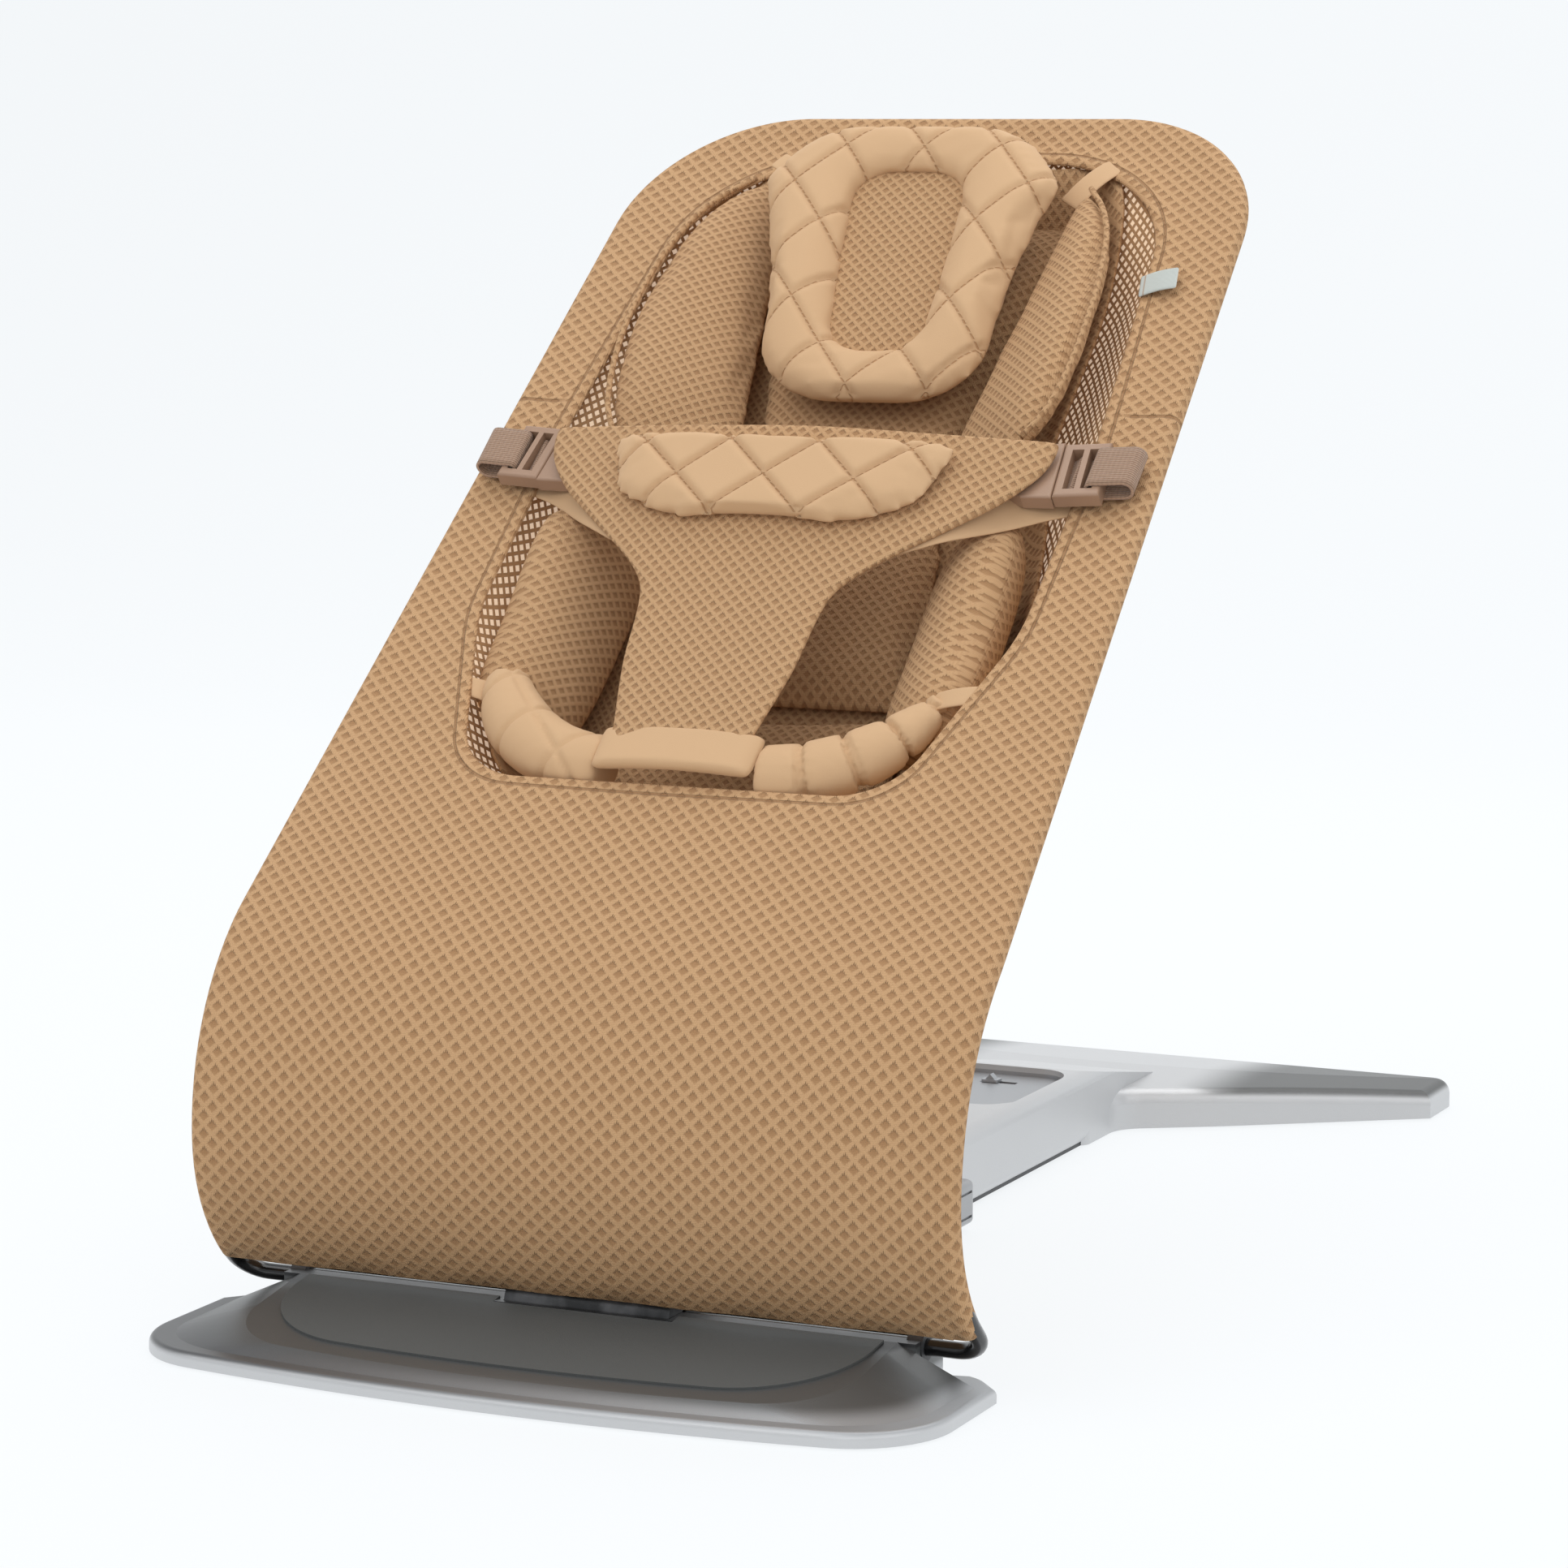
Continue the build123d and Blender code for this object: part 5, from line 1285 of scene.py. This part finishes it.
def makeHarness():
    rows, marks = [], []
    for r in range(-2, 49):
        share = r / 48
        row, markRow = [], []
        for c in range(49):
            side = -1 + 2 * c / 48
            base = harnessSizes["top"] * max(share, 0) + 0.004 * min(r, 0)
            half = between(harnessSizes["halves"], base)
            across = half * math.copysign(abs(side) ** 0.9, side)
            up = base + 0.005 * share * (abs(across) / 0.138) ** 3
            edge = min(half - abs(across), 0.01)
            out = 0.0042 - 0.0012 * (1 - smooth(0, 0.006, edge))
            out += noise.noise(Vector((across * 12, up * 10, 2.0))) * 0.0012
            row.append(harnessPoint(across, up, out))
            markRow.append((across, up))
        rows.append(row)
        marks.append(markRow)
    return gridPiece("harnessPanel", rows, marks)


def thicken(piece, thickness, outward):
    # cloth gets its thickness behind its outer face, with rounded edges
    middle = piece.data.polygons[len(piece.data.polygons) // 2]
    if middle.normal.dot(outward) < 0:
        piece.data.flip_normals()
    addModifier(piece, "SOLIDIFY", thickness=thickness, offset=-1.0)
    addModifier(piece, "SUBSURF", levels=1, render_levels=1)
    shadeSmooth(piece)


harness = makeHarness()
thicken(harness, harnessSizes["thickness"], harnessFacing)
dress(harness, "harness", slot="honeycomb_fabric", replaced=("harness_panel",))

# bib: the quilted pad at the top of the harness
bibOutline = roundCorners(
    [(-0.052, 0.1225), (0.052, 0.1225), (0.086, 0.140), (0.096, 0.174), (0.091, 0.179), (-0.091, 0.179),
     (-0.096, 0.174),
     (-0.086, 0.140)], [0.06, 0.06, 0.026, 0.004, 0.004, 0.004, 0.004, 0.026])
bib = closedPad("harnessBib", bibOutline, Vector((0, 0.160)),
                lambda x, up, out: harnessPoint(x, up, 0.0080 + out), 0.0105, 0.010)
puff(bib, voxel=0.0035, cap=0.003)
addModifier(bib, "SUBSURF", levels=1, render_levels=1)
moveOut(bib, lambda co, n: -0.0026 * math.exp(-(diamondGap(onSeat(co)[0], onSeat(co)[1], 0.048,
                                                           0.044) / 0.05) ** 2)
        if n.dot(facingSeat) > 0.1 else 0.0)
mapCloth(bib)
shadeSmooth(bib)
dress(bib, "bib", slot="smooth_fabric", replaced=("harness_bib",))

# lining: smooth cloth behind the wings, that dips under the buckles
liningSizes = {"low": [(0.0, 0.108), (0.055, 0.1085), (0.07, 0.113), (0.10, 0.129), (0.13, 0.152),
                       (0.152, 0.163)], "half": 0.152}


def makeLining():
    rows, marks = [], []
    for c in range(49):
        across = liningSizes["half"] * (-1 + 2 * c / 48)
        low = between(liningSizes["low"], abs(across))
        high = 0.186 - 0.006 * smooth(0.1, 0.15, abs(across))
        row, markRow = [], []
        for r in range(13):
            up = low + (high - low) * r / 12
            dip = 0.0115 * smooth(0.092, 0.130, abs(across))
            row.append(harnessPoint(across, up, 0.0002 - dip))
            markRow.append((across, up))
        rows.append(row)
        marks.append(markRow)
    return gridPiece("harnessLining", rows, marks)


lining = makeLining()
thicken(lining, 0.0014, harnessFacing)
dress(lining, "smooth", slot="smooth_fabric", replaced=("harness_lining",))

# crotch band: smooth cloth folded round the foot of the harness
bandOutline = roundCorners([(-0.0445, 0.0945), (0.0445, 0.0945), (0.0455, 0.1205), (-0.0455, 0.1205)],
                           [0.003] * 4)
band = closedPad("crotchBand", bandOutline, Vector((0, 0.108)),
                 lambda x, up, out: seatPoint(x, up, 0.0130 - x * x * 1.6 + out), 0.0075, 0.0035)
addModifier(band, "SUBSURF", levels=1, render_levels=1)
mapCloth(band)
shadeSmooth(band)
dress(band, "smooth", slot="smooth_fabric", replaced=("crotch_band",))
print("harness made")


# ---- wire: one bent rod, turning in the base and springing in its lower bends
wireSizes = {"radius": 0.004, "rootHalf": 0.1945, "half": 0.192, "elbow": 0.014, "pivotY": -0.300,
             "pivotZ": 0.021,
             "hem": -0.1817, "seam": 0.349, "taper": 0.0219 / 0.574}


def wirePath():
    # one side from the pivot run up to the seam, then the other side is mirrored
    hemSpot = seatPoint(0, wireSizes["hem"], 0)
    lift = Vector((0, hemSpot.y - wireSizes["pivotY"], hemSpot.z - wireSizes["pivotZ"])).normalized()
    corner = Vector((wireSizes["rootHalf"], wireSizes["pivotY"], wireSizes["pivotZ"]))
    reach = wireSizes["elbow"]
    side = []
    for k in range(9):
        t = math.pi / 2 * k / 8
        side.append(corner + Vector((-reach, 0, 0)) * (1 - math.sin(t)) + lift * reach * (1 - math.cos(t)))
    for k in range(0, 61):
        up = wireSizes["hem"] + 0.004 + (wireSizes["seam"] - wireSizes["hem"] - 0.004) * k / 60
        half = wireSizes["half"] - max(up, 0) * wireSizes["taper"] + 0.0025 * smooth(-0.13, -0.19, up)
        side.append(seatPoint(half, up, 0))
    return [Vector((-p.x, p.y, p.z)) for p in reversed(side)] + side


wire = tubePiece("seatWire", wirePath(), wireSizes["radius"], sides=16)
dress(wire, "wire", body=None, slot="black_wire",
      replaced=("pivot_wire", "side_wire_left", "side_wire_right"))
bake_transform(wire)
print("wire made")

# ---- straps
strapSizes = {"up": 0.298, "tilt": math.radians(5), "width": 0.025, "thick": 0.0015, "inner": 0.1555,
              "outer": 0.180,
              "lift": 0.0097, "buckle": 0.008}


def makeStrap(label, side):
    rise = math.tan(strapSizes["tilt"])
    bottom = strapSizes["lift"] - strapSizes["thick"] - 0.0002
    top = strapSizes["lift"] + strapSizes["buckle"] + strapSizes["thick"] + 0.0002
    middle, half = (bottom + top) / 2, (top - bottom) / 2
    loop = roundCorners([(strapSizes["inner"], bottom), (strapSizes["outer"], bottom),
                         (strapSizes["outer"], top),
                         (strapSizes["inner"], top)], [0.003, half * 0.98, half * 0.98, 0.003], step=0.0015)
    rows, marks = [], []
    run = 0.0
    for i, point in enumerate(loop):
        run += (point - loop[i - 1]).length if i else 0.0
        row, markRow = [], []
        for k in range(9):
            offset = strapSizes["width"] * (k / 8 - 0.5)
            up = strapSizes["up"] + (point.x - 0.139) * rise + offset
            row.append(seatPoint(side * point.x, up, point.y))
            markRow.append((offset, run))
        rows.append(row)
        marks.append(markRow)
    rows.append(rows[0])
    marks.append(marks[0])
    strap = gridPiece("strapLoop" + label, rows, marks)
    form = bmesh.new()
    form.from_mesh(strap.data)
    bmesh.ops.remove_doubles(form, verts=form.verts, dist=1e-5)
    bmesh.ops.recalc_face_normals(form, faces=form.faces)
    form.to_mesh(strap.data)
    form.free()
    addModifier(strap, "SOLIDIFY", thickness=strapSizes["thick"], offset=-1.0)
    shadeSmooth(strap)
    return strap


def makeStrapTail(label, side):
    # the strap's inner run, threaded under the buckle's middle bar
    rise = math.tan(strapSizes["tilt"])
    rows, marks = [], []
    for k in range(13):
        across = 0.1425 + (0.1540 - 0.1425) * k / 12
        out = strapSizes["lift"] + 0.0022 + 0.0030 * math.exp(-((across - 0.1475) / 0.0022) ** 2)
        row, markRow = [], []
        for c in range(9):
            offset = strapSizes["width"] * 0.98 * (c / 8 - 0.5)
            row.append(seatPoint(side * across, strapSizes["up"] + (across - 0.139) * rise + offset, out))
            markRow.append((offset, across))
        rows.append(row)
        marks.append(markRow)
    tail = gridPiece("strapTail" + label, rows, marks)
    thicken(tail, strapSizes["thick"], facingSeat)
    return tail


for label, side in (("Right", 1), ("Left", -1)):
    tail = makeStrapTail(label, side)
    dress(tail, "webbing", body="clip_" + label.lower(), slot="webbing")
    strap = makeStrap(label, side)
    low = label.lower()
    dress(strap, "webbing", slot="webbing", replaced=("strap_loop_" + low,))
    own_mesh(strap)
print("straps made")


# ---- tag and loops
def stripPiece(name, look, start, end, width, thickness, arch, replaced):
    # a short strap of cloth from start to end, arched between them
    rows, marks = [], []
    a, b = Vector(start), Vector(end)
    ahead = (b - a).normalized()
    sideways = ahead.cross(facingSeat).normalized()
    for k in range(13):
        t = k / 12
        middle = a.lerp(b, t) + facingSeat * arch * math.sin(math.pi * t)
        row = [middle + sideways * width * (c / 6 - 0.5) for c in range(7)]
        rows.append(row)
        marks.append([(width * (c / 6 - 0.5), (b - a).length * t) for c in range(7)])
    strip = gridPiece(name, rows, marks)
    thicken(strip, thickness, facingSeat)
    dress(strip, look, slot="tag_fabric" if look == "tag" else "smooth_fabric", replaced=replaced)
    return strip


tag = stripPiece("blankTag", "tag", seatPoint(0.137, 0.441, 0.0066), seatPoint(0.1575, 0.4445, 0.0105),
                 0.0155, 0.0012, 0.0010,
                 ("fabric_tag",))
loopSizes = {
    "Right": {"upper": ((0.078, 0.506), (0.100, 0.5385)), "lower": ((0.106, 0.158), (0.1365, 0.160)),
              "width": 0.014},
    "Left": {"upper": ((-0.074, 0.520), (-0.100, 0.5395)), "lower": ((-0.112, 0.147), (-0.1370, 0.149)),
             "width": 0.012},
}
for label, sizes in loopSizes.items():
    start, end = sizes["upper"]
    upperLoop = stripPiece("upperLoop" + label, "smooth", seatPoint(start[0], start[1], 0.003),
                           seatPoint(end[0], end[1], 0.0045),
                           sizes["width"], 0.0012, 0.003, ("insert_loops",))
    start, end = sizes["lower"]
    lowerLoop = stripPiece("lowerLoop" + label, "smooth", seatPoint(start[0], start[1], -0.004),
                           seatPoint(end[0], end[1], 0.0045),
                           0.012, 0.0012, 0.002, ("insert_loops",))
print("tag and loops made")

# ---- finishes of the CAD nodes that stay
for name, node in nodes.items():
    if node.hide_render:
        continue
    slot = node.get("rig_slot") or (node.data.materials[0].name if node.data.materials else "")
    look = None
    for key, value in slotOfMaterial.items():
        if key in slot:
            look = value
    if look is None:
        look = "plastic"
    # the two foot shells take the silver paint with painted reflection and painted shadow
    if name in ("front_foot_shell", "rear_base_shell"):
        look = "foot"
    if node.data.materials:
        node.material_slots[0].material = materials[look]
    else:
        node.data.materials.append(materials[look])
    print("finish", name, slot, look)

# ---- floor, lights and camera
stageSizes = {"front": -4.0, "back": 3.2, "half": 14.0, "rise": 4.0, "bend": 1.6}
profile = [(stageSizes["front"], 0.0), (stageSizes["back"] - stageSizes["bend"], 0.0)]
for k in range(1, 13):
    t = math.pi / 2 * k / 12
    profile.append((stageSizes["back"] - stageSizes["bend"] + math.sin(t) * stageSizes["bend"],
                    stageSizes["bend"] * (1 - math.cos(t))))
profile.append((stageSizes["back"], stageSizes["rise"]))
floor = gridPiece("studioFloor", [[Vector((x, y, z)) for x in (-stageSizes["half"],
                                                               stageSizes["half"])] for y, z in profile])
shadeSmooth(floor)
floorMaterial, floorTree, floorShader = newMaterial("paleFloor", roughness=0.9)
floorGrain = useGroup(floorTree, grainGroup, Vector=objectVector(floorTree), Coarse=1.0, Fine=40.0)
floorTree.links.new(mixColour(floorTree, floorGrain["Mottle"], linear(91, 92, 93), linear(89, 90, 91)),
                    floorShader.inputs["Base Color"])
floorShader.inputs["Emission Color"].default_value = linear(245, 248, 250)
floorShader.inputs["Emission Strength"].default_value = 0.885
floor.data.materials.append(floorMaterial)

world = bpy.data.worlds.new("studio")
scene.world = world
world.use_nodes = True
world.node_tree.nodes["Background"].inputs["Color"].default_value = (0.94, 0.96, 1.0, 1.0)
world.node_tree.nodes["Background"].inputs["Strength"].default_value = 0.50

lightSizes = {
    "key": {"place": (-1.0, -1.7, 2.8), "size": 3.0, "power": 40.0},
    "fill": {"place": (2.4, -1.0, 1.9), "size": 2.8, "power": 20.0},
    "front": {"place": (0.9, -2.8, 1.3), "size": 1.6, "power": 8.0},
    "top": {"place": (0.1, 0.9, 2.7), "size": 2.4, "power": 34.0},
}
for name, values in lightSizes.items():
    light = bpy.data.lights.new(name + "Light", "AREA")
    light.size = values["size"]
    light.energy = values["power"]
    lamp = bpy.data.objects.new(name + "Light", light)
    lamp.location = values["place"]
    lamp.rotation_euler = (Vector((0, 0, 0.25)) - lamp.location).to_track_quat("-Z", "Y").to_euler()
    scene.collection.objects.link(lamp)

camera = bpy.data.objects.new("camera", bpy.data.cameras.new("camera"))
camera.location = (0.992, -2.253, 0.575)
camera.rotation_euler = (math.radians(82.06), 0.0, math.radians(24.7))
camera.data.lens = 109.9
camera.data.sensor_width = 36.0
scene.collection.objects.link(camera)
scene.camera = camera
scene.view_settings.view_transform = "Standard"
print("stage made")
